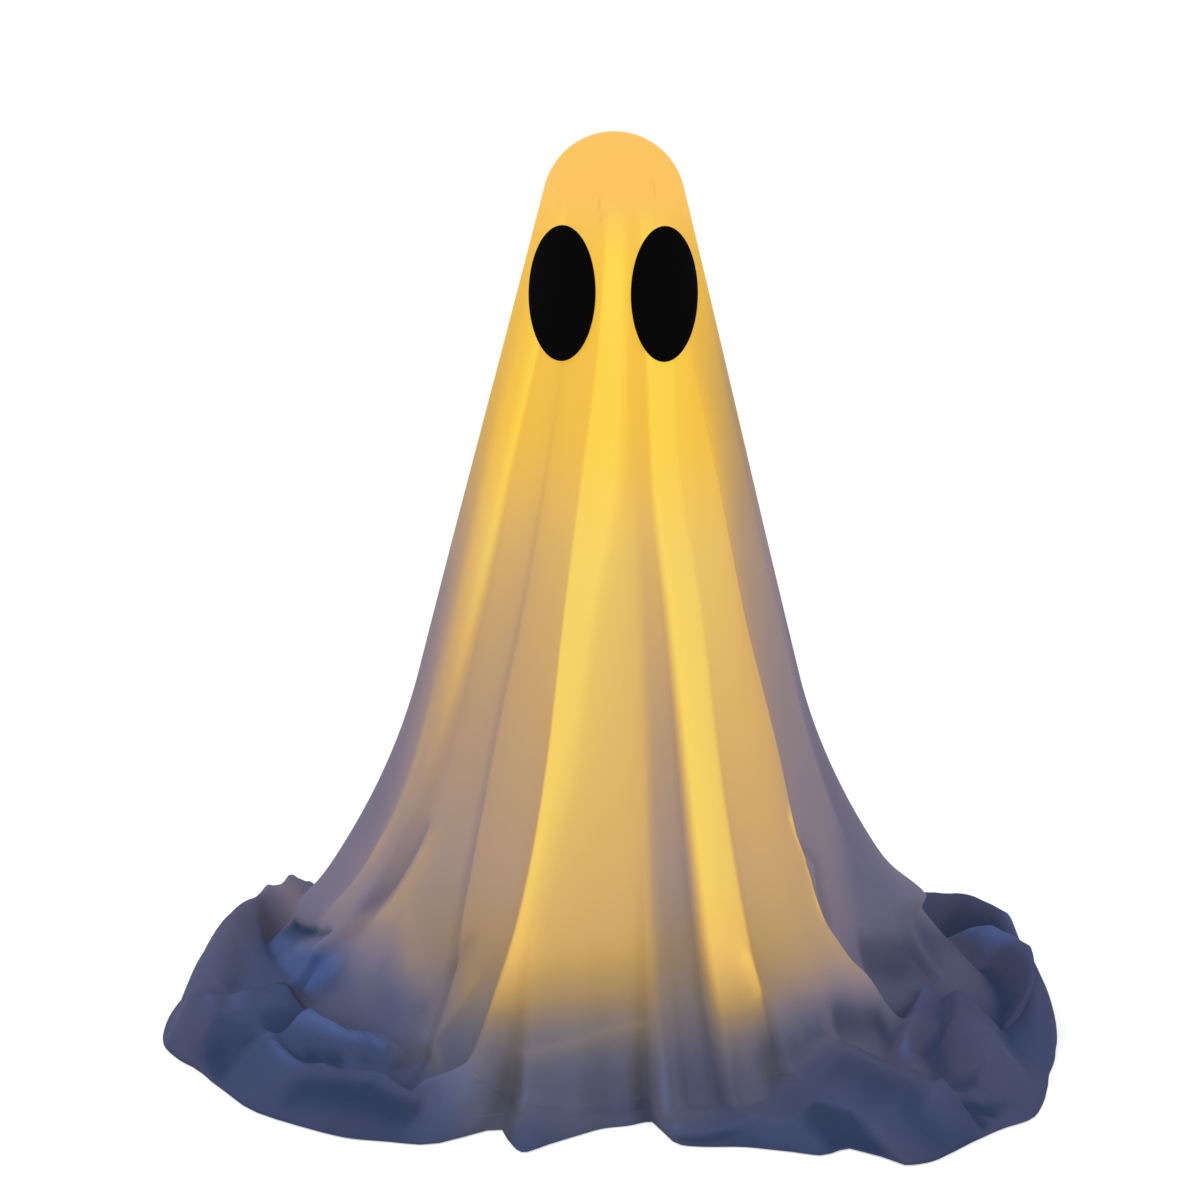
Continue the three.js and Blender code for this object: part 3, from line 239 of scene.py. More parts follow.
# Finer folds on them: the same, and how round the fold is and its painted shading: above zero
# a painted highlight on the crest, below zero painted shade in the tuck
FLOOR_FOLDS = (
    # left: the hump beside the skirt, the tuck inside the crest, the soft dip on the lobe
    (((-236, 132), (-224, 134), (-206, 134)), 11, 9, 9, 12, 2.0, 0.2),
    (((-250, 104), (-230, 102), (-208, 98)), 14, 16, 16, 26, 2.0, 0.5),
    (((-240, 60), (-226, -8), (-214, -46), (-200, -76), (-186, -96)), -4, -4, 6, 4, 1.6, 0.3),
    (((-252, 98), (-246, 52), (-234, -8), (-222, -48), (-208, -79), (-190, -104)), 0, 0, 4, 17,
     1.8, -0.9),
    (((-256, 56), (-251, -37), (-252, -102), (-253, -130)), -1, -2, 8, 6, 1.9, -0.3),
    (((-262, -70), (-250, -98), (-240, -124)), 5, 6, 13, 13, 2.0, 0.2),
    (((-246, -58), (-242, -84), (-236, -108)), 9, 7, 12, 12, 2.0, 0.9),
    (((-273, -40), (-268, 10), (-262, 56)), 6, 10, 24, 24, 2.0, 0.1),
    # left: the peak's two ridges and the pockets beside and under them, with painted highlights and
    # painted shade
    (((-196, -102), (-200, -122), (-202, -144)), 6, 2, 4, 9, 1.4, 0.5),
    (((-196, -103), (-186, -121), (-172, -135), (-155, -141), (-134, -139)), 5, 2, 3, 9, 1.4, 0.5),
    (((-190, -99), (-178, -116), (-162, -128)), -4, -3, 6, 6, 1.5, -0.5),
    (((-192, -144), (-172, -152), (-148, -154), (-122, -154)), -5, -4, 5, 5, 1.5, -1.6),
    (((-186, -152), (-164, -162), (-142, -168)), 1, 1, 5, 5, 1.5, 0.9),
    # left: the fine edge on the long crest with a painted highlight, the fall before it in painted
    # shade and the pocket behind it, also in painted shade
    (((-224, -100), (-214, -138), (-197, -171), (-183, -181), (-168, -179), (-156, -179)),
     3, 4, 3, 7, 1.4, 0.6),
    (((-156, -179), (-140, -191), (-129, -202), (-119, -206), (-98, -200), (-80, -192)),
     4, 3, 3, 6, 1.4, 0.7),
    (((-150, -168), (-128, -180), (-106, -184)), -6, -5, 8, 9, 1.6, -0.8),
    (((-200, -184), (-170, -193), (-142, -209), (-114, -222)), -2, -2, 10, 16, 1.8, -1.7),
    (((-230, -130), (-214, -164), (-196, -190)), -1, -1, 9, 9, 1.8, -0.3),
    # front: the notches and the flap, with painted shade and painted highlights
    (((-69, -252), (-67, -222), (-62, -200)), -5, 2, 7, 6, 1.6, 0.5),
    (((-54, -258), (-50, -232), (-46, -208)), 5, 3, 10, 14, 1.9, 0.0),
    (((28, -212), (31, -226), (36, -256)), -2, -2, 5, 3, 1.5, 0.0),
    (((36, -228), (54, -238), (72, -234), (88, -226)), 7, 6, 12, 2.5, 1.4, 0.4),
    (((40, -240), (56, -244), (76, -238)), -1.5, -1.5, 5, 4, 1.6, -1.3),
    (((98, -200), (108, -236), (124, -262)), 1, 2, 12, 16, 1.9, -0.1),
    (((134, -206), (146, -240), (152, -260)), 2, 3, 12, 12, 1.9, 0.2),
    # right: the fine edge on the long crest, the hollow behind it in painted shade, the lip at its
    # end with a painted highlight
    (((127, -153), (148, -176), (167, -198), (186, -211), (204, -217), (222, -208)), 2, 2, 3, 14,
     1.6, -0.6),
    (((156, -158), (180, -182), (204, -198), (226, -194)), -6, -6, 8, 7, 1.7, -1.6),
    (((140, -190), (166, -214), (196, -232)), 0, 0, 22, 22, 2.0, -1.4),
    (((214, -212), (228, -218), (242, -214), (248, -206)), -3, -3, 4, 4, 1.6, -0.9),
    (((232, -222), (250, -212), (262, -196)), 2, 2, 11, 11, 1.7, 1.4),
    (((206, -180), (222, -186), (238, -180)), 4, 3, 7, 8, 1.7, 0.6),
    # right: the painted highlight down the inner fold, the fold line outside it, and painted shade
    # and highlights along the rolls
    (((211, -70), (200, -96), (192, -122), (188, -149)), 2, 2, 4, 6, 1.5, 0.1),
    (((186, -90), (178, -120), (166, -142)), -4, -4, 12, 12, 1.9, -0.7),
    (((236, -54), (243, -104), (251, -144), (258, -182)), 1, 1, 4, 9, 1.5, -0.5),
    (((222, -56), (222, -102), (230, -160)), 20, 8, 15, 15, 2.0, 0.2),
    (((206, 96), (236, 90), (262, 84), (288, 76)), -5, -5, 7, 7, 1.7, -0.9),
    (((262, 30), (266, 0), (268, -40)), 0, 0, 14, 14, 1.9, 0.2),
    (((288, 44), (284, 0), (262, -84)), 0, 0, 9, 9, 1.9, -0.3),
    (((200, 200), (240, 202), (276, 194), (300, 176)), 0, 0, 26, 30, 1.9, -0.7),
    # back, with painted shade in the tucks and painted highlights on the crests
    (((-176, 176), (-130, 204), (-84, 214)), -5, -5, 9, 9, 1.6, -1.0),
    (((-150, 204), (-110, 234), (-70, 238)), 3, 3, 3, 8, 1.4, 0.6),
    (((86, 208), (134, 202), (172, 176)), -5, -5, 9, 9, 1.6, -1.0),
    (((60, 220), (104, 234), (150, 213)), 3, 3, 3, 8, 1.4, 0.6),
    (((-40, 250), (-16, 262), (6, 280)), -4, -4, 9, 8, 1.7, -0.7),
    (((-200, 214), (-176, 250), (-140, 262)), -3, -3, 9, 9, 1.7, -0.7),
    (((168, 226), (190, 200), (200, 176)), -4, -4, 8, 8, 1.7, -0.8),
)

# Where the lamp shows through the spare cloth: the middle line, half-width and strength
FLOOR_LIGHTS = (
    (((-250, 118), (-228, 114), (-206, 108)), 26, 0.22),
    (((-272, -60), (-268, 20), (-254, 88)), 32, 0.07),
    (((-112, -186), (-84, -206), (-66, -240)), 20, 0.07),
    (((-66, -216), (-24, -222), (24, -216), (70, -216)), 26, 0.06),
    (((150, -150), (176, -170), (192, -160)), 14, 0.07),
)

# Marks on the skirt, along lines of an angle from the front and a height: how far the cloth
# stands out at each end, half-widths, roundness, painted shading, and how much more the lamp shows
# through
SKIRT_FOLDS = (
    # left: the recess under the skirt's edge in painted shade, and the cloth that comes out of it
    # with a painted highlight
    (((-96, 67), (-86, 71), (-77, 77), (-69, 84)), -7, -5, 4, 4, 1.8, -1.2, -0.14),
    (((-98, 84), (-88, 87), (-78, 93), (-68, 100)), 5, 3, 12, 8, 1.8, 0.25, 0.0),
    (((-96, 52), (-84, 58), (-74, 62), (-64, 62)), 4, 2, 13, 15, 2.2, 1.4, -0.22),
    (((-68.6, 84), (-68.6, 62), (-71, 40)), 9, 7, 11, 5, 2.0, 0.8, -0.06),
    (((-51, 164), (-54, 145), (-58.5, 122), (-64, 101)), -3, -3, 4, 6, 1.7, 0.0, -0.14),
    (((-48, 156), (-50.2, 139), (-52.5, 125), (-56, 109), (-61, 96)), 3, 3, 13, 4, 2.0, 0.2, 0.07),
    (((-66, 150), (-70, 120), (-74, 102)), 2, 2, 10, 9, 2.0, 0.0, 0.06),
    (((-50, 110), (-46, 92), (-42, 76)), 2, 2, 12, 12, 1.9, 0.0, 0.05),
    (((-56, 74), (-48, 58), (-42, 50)), 0, 0, 16, 16, 2.0, 0.3, -0.08),
    (((-26, 84), (-30, 60), (-34, 40), (-31, 24)), 4, 3, 4, 10, 1.5, 0.2, 0.07),
    (((-47, 23), (-40, 26), (-31, 27)), -3, -3, 6, 7, 1.8, -0.8, 0.03),
    (((-30, 104), (-35, 76), (-39, 50)), -3, -3, 6, 6, 1.7, -0.5, -0.05),
    # front: the crease where the skirt bends out over the hem, with a painted highlight
    (((-16, 42), (-11, 44), (-5, 49), (2, 53), (9, 56)), 2.5, 2.5, 2, 8, 1.5, 0.2, 0.06),
    (((9.4, 50), (9.3, 28), (8.8, 8)), 2, 3, 14, 2, 1.5, 0.0, 0.0),
    (((12, 30), (17, 30), (21, 30)), 0.5, 0.5, 14, 14, 3.0, 0.5, -0.02),
    (((23.6, 50), (23.2, 30), (22, 8)), -2, -3, 5, 6, 1.6, -0.3, -0.02),
    # right: the fine crease at the bright cloth's edge and the hollow below it in painted shade
    (((47, 158), (50, 143), (48, 126), (48.5, 106), (52, 80), (60, 58)),
     3, 4, 3, 9, 1.5, 0.3, 0.06),
    (((53, 154), (57, 138), (55, 122), (54, 100)), -3, -3, 6, 3, 1.6, -0.5, -0.06),
    (((49.5, 174), (50.6, 152), (50.3, 134), (49.3, 114)), 0, 0, 6, 6, 4.0, 0.0, 0.28),
    (((43, 52), (49, 48), (57, 42)), -4, -3, 14, 14, 2.2, -1.4, -0.12),
    (((34, 62), (42, 63), (50, 64)), 0, 0, 12, 12, 2.0, 0.0, -0.08),
    (((25, 40), (32, 42), (41, 46)), 0, 0, 14, 12, 2.0, -0.4, -0.09),
    (((28, 100), (29.6, 84), (30.6, 70)), 1, 1, 3, 9, 1.9, 0.0, 0.14),
    (((61, 77), (71, 69), (82, 60)), -5, -5, 17, 17, 2.6, -1.6, -0.07),
    (((84, 74), (90, 68), (98, 60)), 0, 0, 14, 14, 2.0, 0.0, -0.12),
    (((78, 60), (72, 48), (66, 40)), 3, 3, 8, 8, 1.7, 0.4, 0.0),
    (((80, 98), (92, 96), (106, 94)), 9, 10, 14, 7, 2.0, 0.0, 0.0),
    (((74, 128), (84, 108), (94, 92)), 3, 3, 10, 10, 1.9, 0.2, 0.0),
    # both sides: the lamp hardly reaches the cloth at the edge of the view
    (((90, 330), (86, 220), (80, 160), (72, 120), (66, 94)), 0, 0, 60, 22, 2.0, 0.0, -0.12),
    (((-84, 330), (-84, 200), (-82, 130)), 0, 0, 36, 60, 2.0, 0.0, -0.09),
    (((-62, 240), (-63, 180), (-66, 130)), 0, 0, 14, 14, 2.0, 0.0, 0.05),
)
SKIRT_MM_PER_DEGREE = 3.4

# Small pinches in the cloth over the head: angle, from height, to height, depth in mm
PINCHES = (
    (-11.5, 555, 570, 0.5),
    (-9.5, 546, 558, 0.5),
    (34, 564, 579, 0.45),
    (31, 549, 560, 0.4),
    (-50, 562, 576, 0.3),
    (-46, 556, 568, 0.3),
    (60, 550, 566, 0.3),
    (-64, 548, 566, 0.3),
)
PINCH_HALF_WIDTH = 1.6
# the pinches get painted shade, this much per mm of their depth
PINCH_SHADE = -14


def tint(red, green, blue):
    """A colour as a paint chart gives it, 0 to 255, in the linear values that shaders use."""
    return tuple(
        value / 12.92 if value <= 0.04045 else ((value + 0.055) / 1.055) ** 2.4
        for value in (red / 255, green / 255, blue / 255)
    )


# Settings


class GhostClothSettings(bpy.types.PropertyGroup):
    """Sizes and colours of the sheet and the eyes."""

    fold_depth: bpy.props.FloatProperty(
        name="Fold depth", description="How far a full fold stands out at the floor",
        default=0.024, min=0.005, max=0.04, unit="LENGTH",
    )
    cloth_thickness: bpy.props.FloatProperty(
        name="Cloth thickness", description="Thickness of the sheet with its soft nap",
        default=0.0006, min=0.0002, max=0.0015, unit="LENGTH",
    )
    glow: bpy.props.FloatProperty(
        name="Glow", description="How brightly the lamp shows through", default=1.0, min=0, max=1.5,
    )
    shadow_colour: bpy.props.FloatVectorProperty(
        name="Cloth in the shade", description="The sheet's colour where the lamp doesn't reach",
        subtype="COLOR", default=tint(61, 75, 114), min=0, max=1,
    )
    shadow_drift: bpy.props.FloatVectorProperty(
        name="Shade, second colour", description="The colour that the shade drifts towards",
        subtype="COLOR", default=tint(73, 77, 109), min=0, max=1,
    )
    # painted shade: the darker colour painted in the hollows and tucks
    shadow_deep: bpy.props.FloatVectorProperty(
        name="Shade in a tuck", description="The colour in the hollows of the spare cloth",
        subtype="COLOR", default=tint(40, 58, 92), min=0, max=1,
    )
    # painted highlight: the paler colour painted on the crests
    crest_highlight: bpy.props.FloatVectorProperty(
        name="Shade on a crest", description="The colour on the crests of the spare cloth",
        subtype="COLOR", default=tint(78, 99, 152), min=0, max=1,
    )
    eye_width: bpy.props.FloatProperty(
        name="Eye width", description="Width of a felt eye as it shows from the front",
        default=0.044, min=0.02, max=0.06, unit="LENGTH",
    )
    eye_height: bpy.props.FloatProperty(
        name="Eye height", description="Height of a felt eye", default=0.0865,
        min=0.04, max=0.12, unit="LENGTH",
    )
    felt_colour: bpy.props.FloatVectorProperty(
        name="Felt", description="Colour of the felt eyes", subtype="COLOR",
        default=(0.0012, 0.0012, 0.0012), min=0, max=1,
    )


class GhostStandSettings(bpy.types.PropertyGroup):
    """Colours of the lamp stand."""

    metal_colour: bpy.props.FloatVectorProperty(
        name="Tube", description="Colour of the drawn tubes", subtype="COLOR",
        default=tint(205, 207, 210), min=0, max=1,
    )
    dark_plastic: bpy.props.FloatVectorProperty(
        name="Dark plastic", description="Colour of the hub, knuckles and clips", subtype="COLOR",
        default=tint(38, 38, 41), min=0, max=1,
    )
    pale_plastic: bpy.props.FloatVectorProperty(
        name="Pale plastic", description="Colour of the battery box and the lamp's cups",
        subtype="COLOR", default=tint(228, 226, 219), min=0, max=1,
    )
    cell_colour: bpy.props.FloatVectorProperty(
        name="Cell sleeve", description="Colour of the battery cells' sleeves", subtype="COLOR",
        default=tint(44, 92, 150), min=0, max=1,
    )
    lamp_colour: bpy.props.FloatVectorProperty(
        name="Lamp light", description="Colour of the lit tube", subtype="COLOR",
        default=tint(255, 206, 110), min=0, max=1,
    )


class GhostStageSettings(bpy.types.PropertyGroup):
    """The camera and the lights round the ghost."""

    camera_distance: bpy.props.FloatProperty(
        name="Camera distance", description="From the pole to the camera, level with the floor",
        default=1.925, min=1, max=4, unit="LENGTH",
    )
    camera_height: bpy.props.FloatProperty(
        name="Camera height", description="Height of the lens above the floor",
        default=0.56, min=0.2, max=1.5, unit="LENGTH",
    )
    aim_height: bpy.props.FloatProperty(
        name="Aim height", description="Height that the middle of the picture shows",
        default=0.2982, min=0.1, max=0.5, unit="LENGTH",
    )
    lens: bpy.props.FloatProperty(
        name="Lens", description="Focal length in millimetres", default=86.55, min=30, max=200,
    )
    key_power: bpy.props.FloatProperty(
        name="Key light", description="Power of the large soft light at the left", default=30.0,
        min=0, max=200, unit="POWER",
    )
    room_light: bpy.props.FloatProperty(
        name="Room light", description="Strength of the even light of the room", default=0.55,
        min=0, max=2,
    )


# Materials


class Value:
    """A socket of a finish. Sums and products of it become Math nodes."""

    def __init__(self, finish, socket):
        self.finish = finish
        self.socket = socket

    def _math(self, operation, *terms):
        settings = {"operation": operation}
        return self.finish.node("ShaderNodeMath", settings, dict(enumerate(terms)))

    def __add__(self, other):
        return self._math("ADD", self, other)

    def __radd__(self, other):
        return self._math("ADD", other, self)

    def __sub__(self, other):
        return self._math("SUBTRACT", self, other)

    def __rsub__(self, other):
        return self._math("SUBTRACT", other, self)

    def __mul__(self, other):
        return self._math("MULTIPLY", self, other)

    def __rmul__(self, other):
        return self._math("MULTIPLY", other, self)

    def __abs__(self):
        return self._math("ABSOLUTE", self)

    def over(self, level):
        """1 where this is above the level and 0 elsewhere."""
        return self._math("GREATER_THAN", self, level)


class Finish:
    """The node tree of a material or of the world."""

    def __init__(self, owner):
        owner.use_nodes = True
        self.owner = owner
        self.tree = owner.node_tree
        self.tree.nodes.clear()

    def node(self, kind, settings=None, inputs=None, output=0):
        """Adds a node with its settings, and the values or links of its sockets."""
        made = self.tree.nodes.new(kind)
        for name, value in (settings or {}).items():
            if name == "stops":
                self._set_stops(made.color_ramp, value)
            else:
                setattr(made, name, value)
        for name, value in (inputs or {}).items():
            socket = made.inputs[name]
            if isinstance(value, Value):
                self.tree.links.new(value.socket, socket)
            elif socket.type == "RGBA" and len(value) == 3:
                socket.default_value = (*value, 1)
            else:
                socket.default_value = value
        return Value(self, made.outputs[output])

    @staticmethod
    def _set_stops(ramp, stops):
        while len(ramp.elements) < len(stops):
            ramp.elements.new(1)
        for element, (place, colour) in zip(ramp.elements, stops):
            element.position = place
            element.color = (*colour, 1)

    def place(self):
        """Where a point is on the object, in metres."""
        return self.node("ShaderNodeTexCoord", output="Object")

    def along(self, axis):
        return self.node("ShaderNodeSeparateXYZ", {}, {0: self.place()}, output=axis)

    def attribute(self, name):
        return self.node("ShaderNodeAttribute", {"attribute_name": name}, output="Fac")

    def noise(self, scale, detail=2.0, roughness=0.5, stretch=(1, 1, 1)):
        spot = self.node("ShaderNodeMapping", {}, {"Vector": self.place(), "Scale": stretch})
        sizes = {"Vector": spot, "Scale": scale, "Detail": detail, "Roughness": roughness}
        return self.node("ShaderNodeTexNoise", {}, sizes)

    def ramp(self, value, stops):
        return self.node("ShaderNodeValToRGB", {"stops": stops}, {0: value})

    def blend(self, share, first, second):
        settings = {"data_type": "RGBA", "clamp_factor": True}
        return self.node("ShaderNodeMix", settings, {0: share, 6: first, 7: second}, output=2)

    def span(self, value, low, high, to_low=0.0, to_high=1.0):
        """Turns the values from low to high into a smooth step between two others."""
        settings = {"interpolation_type": "SMOOTHSTEP", "clamp": True}
        sizes = dict(enumerate((value, low, high, to_low, to_high)))
        return self.node("ShaderNodeMapRange", settings, sizes)

    def bump(self, height, distance, strength, under=None):
        """Relief of a distance in metres, on top of another bump where one is given."""
        sizes = {"Height": height, "Distance": distance, "Strength": strength}
        if under is not None:
            sizes["Normal"] = under
        return self.node("ShaderNodeBump", {}, sizes)

    def surface(self, **inputs):
        """Ends the tree in a Principled shader and returns the material."""
        names = {name.replace("_", " ").title(): value for name, value in inputs.items()}
        names = {name.replace("Ior", "IOR"): value for name, value in names.items()}
        shader = self.node("ShaderNodeBsdfPrincipled", {}, names)
        output = self.tree.nodes.new("ShaderNodeOutputMaterial")
        self.tree.links.new(shader.socket, output.inputs["Surface"])
        return self.owner


def new_finish(name):
    return Finish(bpy.data.materials.new(name))


# The lamp's light through the cloth, as linear colours at shares of the full glow: low at the
# front, elsewhere on the skirt, and near the lamp; then on the head, in a groove between two
# folds (painted shade), the base colour painted on lit cloth as a lit copy of it, and how fine the
# weave is
LOW_LIGHT = (
    (0.0, (0, 0, 0)),
    (0.15, (0.070, 0.055, 0.030)),
    (0.30, (0.148, 0.108, 0.044)),
    (0.45, (0.250, 0.156, 0.044)),
    (0.60, (0.400, 0.246, 0.056)),
    (0.75, (0.617, 0.368, 0.086)),
    (0.90, (0.812, 0.497, 0.087)),
    (1.0, (0.907, 0.633, 0.082)),
)
SIDE_LIGHT = (
    (0.0, (0, 0, 0)),
    (0.15, (0.062, 0.052, 0.056)),
    (0.30, (0.140, 0.106, 0.112)),
    (0.45, (0.238, 0.170, 0.140)),
    (0.60, (0.395, 0.252, 0.124)),
    (0.75, (0.617, 0.368, 0.098)),
    (1.0, (0.907, 0.633, 0.082)),
)
HIGH_LIGHT = (
    (0.30, (0.126, 0.083, 0.032)),
    (0.45, (0.240, 0.160, 0.066)),
    (0.60, (0.430, 0.262, 0.070)),
    (0.75, (0.700, 0.400, 0.032)),
    (0.90, (0.850, 0.490, 0.018)),
    (1.0, (0.915, 0.640, 0.030)),
)
HEAD_LIGHT = (0.895, 0.500, 0.072)
GROOVE_LIGHT = (0.20, 0.10, 0.02)
LIT_CLOTH = tint(82, 70, 64)
WEAVE_SCALE = 330.0


def lamp_light(cloth, glow, hollow):
    """The light that the cloth lets through: gold near the lamp and paler lower down."""
    height = cloth.along("Z")
    low_front = cloth.span(abs(cloth.along("X")), 0.16, 0.08) * cloth.span(height, 0.15, 0.09)
    low_front = low_front * cloth.span(cloth.along("Y"), 0.0, -0.05)
    skirt = cloth.blend(low_front, cloth.ramp(glow, SIDE_LIGHT), cloth.ramp(glow, LOW_LIGHT))
    light = cloth.blend(cloth.span(height, 0.33, 0.43), skirt, cloth.ramp(glow, HIGH_LIGHT))
    light = cloth.blend(cloth.span(height, 0.522, 0.572), light, HEAD_LIGHT)
    # painted shade: the glow is darker in the grooves between folds
    groove = cloth.span(hollow, 0.5, 0.0, 0.0, 0.35)
    return cloth.blend(groove * glow, light, GROOVE_LIGHT)


def lit_cloth(settings):
    """Fine voile, warm where the lamp shows through and slate blue where it doesn't."""
    cloth = new_finish("lit_cloth")
    glow = cloth.attribute("glow")
    hollow = cloth.attribute("hollow")
    drift = cloth.span(cloth.noise(7.0), 0.35, 0.65)
    shade = cloth.blend(drift, settings.shadow_colour, settings.shadow_drift)
    # painted shade in the hollows and tucks, and a painted highlight on the crests
    shade = cloth.blend(cloth.span(hollow, 0.5, 0.0), shade, settings.shadow_deep)
    shade = cloth.blend(cloth.span(hollow, 0.5, 1.0), shade, settings.crest_highlight)
    # the base colour is painted as a lit copy of the cloth where the lamp shows through
    body = cloth.blend(cloth.span(glow, 0.12, 0.75), shade, LIT_CLOTH)

    weave = cloth.node("ShaderNodeUVMap", {"uv_map": "cloth"})
    along, across = (
        cloth.node(
            "ShaderNodeTexWave", {"wave_type": "BANDS", "bands_direction": direction},
            {"Vector": weave, "Scale": WEAVE_SCALE, "Distortion": 0.6, "Detail": 1.0},
            output="Fac",
        )
        for direction in "XY"
    )
    rumple = cloth.bump(cloth.noise(26.0, stretch=(1, 1, 0.35)), 0.004, 0.30)
    return cloth.surface(
        base_color=body, roughness=0.92, specular_IOR_level=0.12,
        normal=cloth.bump(along + across, 0.00006, 0.5, rumple),
        emission_color=lamp_light(cloth, glow, hollow), emission_strength=settings.glow,
    )


def felt(settings):
    """Black pressed felt: matt, with a fine tangle of fibres."""
    pad = new_finish("black_felt")
    fibres = pad.noise(900.0, 6.0, 0.7)
    tangle = pad.noise(220.0, 4.0, 0.6, stretch=(1, 1, 0.4))
    colour = pad.blend(fibres, settings.felt_colour, tuple(2.2 * c for c in settings.felt_colour))
    nap = pad.bump(fibres, 0.0004, 0.6, pad.bump(tangle, 0.0008, 0.4))
    return pad.surface(base_color=colour, roughness=1.0, specular_IOR_level=0.03, normal=nap)


def foam_beads():
    """White foam of pressed beads."""
    foam = new_finish("foam_beads")
    beads = {"Vector": foam.place(), "Scale": 330.0}
    edge = foam.node(
        "ShaderNodeTexVoronoi", {"feature": "DISTANCE_TO_EDGE"}, beads, output="Distance",
    )
    each = foam.node("ShaderNodeTexVoronoi", {"feature": "F1"}, beads, output="Color")
    seam = foam.span(edge, 0.0, 0.12)
    white = foam.blend(seam, tint(206, 204, 198), tint(244, 243, 239))
    white = foam.blend(0.05, white, each)
    return foam.surface(
        base_color=white, roughness=0.8, specular_IOR_level=0.3,
        normal=foam.bump(seam, 0.0004, 0.6),
    )


def moulded(name, colour, roughness=0.45):
    """Moulded plastic with a spark-eroded grain and a little unevenness."""
    plastic = new_finish(name)
    grain = plastic.noise(1900.0, 3.0, 0.6)
    cloud = plastic.noise(24.0, 3.0)
    scuffs = plastic.noise(60.0, 5.0, 0.7, stretch=(1, 1, 0.2))
    paler = tuple(min(1, 1.25 * c + 0.01) for c in colour)
    base = plastic.blend(plastic.span(cloud, 0.3, 0.7), colour, paler)
    base = plastic.blend(plastic.span(scuffs, 0.62, 0.75, 0, 0.3), base, paler)
    return plastic.surface(
        base_color=base, normal=plastic.bump(grain, 0.00012, 0.5),
        roughness=plastic.span(cloud, 0.2, 0.8, roughness - 0.06, roughness + 0.10),
    )


def drawn_metal(name, colour, roughness=0.28, along=(1, 1, 0.02)):
    """Metal drawn or turned, with fine lines along it."""
    metal = new_finish(name)
    lines = metal.noise(2600.0, 3.0, 0.6, stretch=along)
    cloud = metal.noise(30.0, 3.0)
    darker = tuple(0.72 * c for c in colour)
    return metal.surface(
        base_color=metal.blend(metal.span(lines, 0.35, 0.65), darker, colour), metallic=1.0,
        roughness=metal.span(cloud, 0.25, 0.75, roughness - 0.06, roughness + 0.12),
        normal=metal.bump(lines, 0.00005, 0.5),
    )


def soft_rubber():
    """Black rubber with a dusty bloom."""
    rubber = new_finish("foot_rubber")
    bloom = rubber.noise(90.0, 5.0, 0.65)
    grain = rubber.noise(1500.0, 2.0)
    colour = rubber.blend(rubber.span(bloom, 0.35, 0.8), tint(26, 26, 27), tint(62, 61, 60))
    return rubber.surface(
        base_color=colour, roughness=0.85, specular_IOR_level=0.3,
        normal=rubber.bump(grain, 0.0002, 0.5),
    )


def lit_tube(settings):
    """Frosted tube, brightest at the middle of the lit board."""
    tube = new_finish("lit_tube")
    low, high = (corner.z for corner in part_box("lamp_tube"))
    offset = tube.along("Z") - (low + high) / 2
    fall = tube.span(offset * offset, 0.0, (high - low) ** 2 / 4, 1.0, 0.55)
    frost = tube.noise(1400.0, 2.0)
    colour = tube.blend(fall, tint(255, 160, 60), settings.lamp_colour)
    return tube.surface(
        base_color=tint(250, 232, 190), roughness=0.35, emission_color=colour,
        emission_strength=1.1, normal=tube.bump(frost, 0.0001, 0.5),
    )


def circuit_board():
    """White solder mask with two pale copper runs down the board."""
    board = new_finish("circuit_board")
    away = abs(board.along("X"))
    run = away.over(0.008) * (1 - away.over(0.0105))
    speck = board.noise(300.0, 2.0)
    mask = board.blend(board.span(speck, 0.4, 0.7), tint(226, 226, 218), tint(238, 238, 232))
    return board.surface(
        base_color=board.blend(run * 0.6, mask, tint(214, 196, 160)), roughness=0.42,
        normal=board.bump(run, 0.0001, 0.5),
    )


def lit_diode(settings):
    """The lit chip: yellow phosphor in a pale frame."""
    diode = new_finish("led")
    glare = diode.noise(500.0, 1.0)
    colour = diode.blend(glare, settings.lamp_colour, tint(255, 238, 190))
    return diode.surface(
        base_color=tint(250, 220, 120), roughness=0.25, emission_color=colour,
        emission_strength=2.0,
    )


def cell_sleeve(settings):
    """A plain sleeve with a brass band at the nub's end, and the cell's bare metal ends."""
    sleeve = new_finish("battery_jacket")
    low, high = (corner.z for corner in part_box("battery_1"))
    height = sleeve.along("Z")
    band = height.over(high - 0.0125)
    bare = height.over(high - 0.0016) + (1 - height.over(low + 0.0009))
    speck = sleeve.noise(700.0, 2.0)
    colour = sleeve.blend(band, settings.cell_colour, tint(190, 142, 74))
    colour = sleeve.blend(bare, colour, tint(198, 198, 196))
    return sleeve.surface(
        base_color=colour, metallic=bare, coat_weight=0.3,
        roughness=sleeve.span(speck, 0.3, 0.7, 0.24, 0.36),
    )


def lead_jacket():
    """Soft vinyl of a thin two-core lead."""
    vinyl = new_finish("lead_jacket")
    dust = vinyl.noise(160.0, 4.0)
    colour = vinyl.blend(dust, tint(214, 212, 205), tint(232, 230, 224))
    return vinyl.surface(
        base_color=colour, roughness=0.5, normal=vinyl.bump(dust, 0.0001, 0.5)
    )


def dress(material, *names):
    """Gives a material to solids that keep their own shape."""
    for name in names:
        slots = NODES[name].data.materials
        slots.clear()
        slots.append(material)


# The sheet's form

# How far below or above its surroundings the cloth gets its darkest painted shade or palest painted
# highlight, in mm
DARKEST_HOLLOW = 9
PALEST_CREST = 22

# In metres: the cloth round the figure as the weave counts it, the distance within which two
# points are one, and a point in front of which the sheet faces the viewer
CLOTH_ROUND = 1.9
SAME_PLACE = 2e-6
CHEST = Vector((0, -0.1, 0.4))


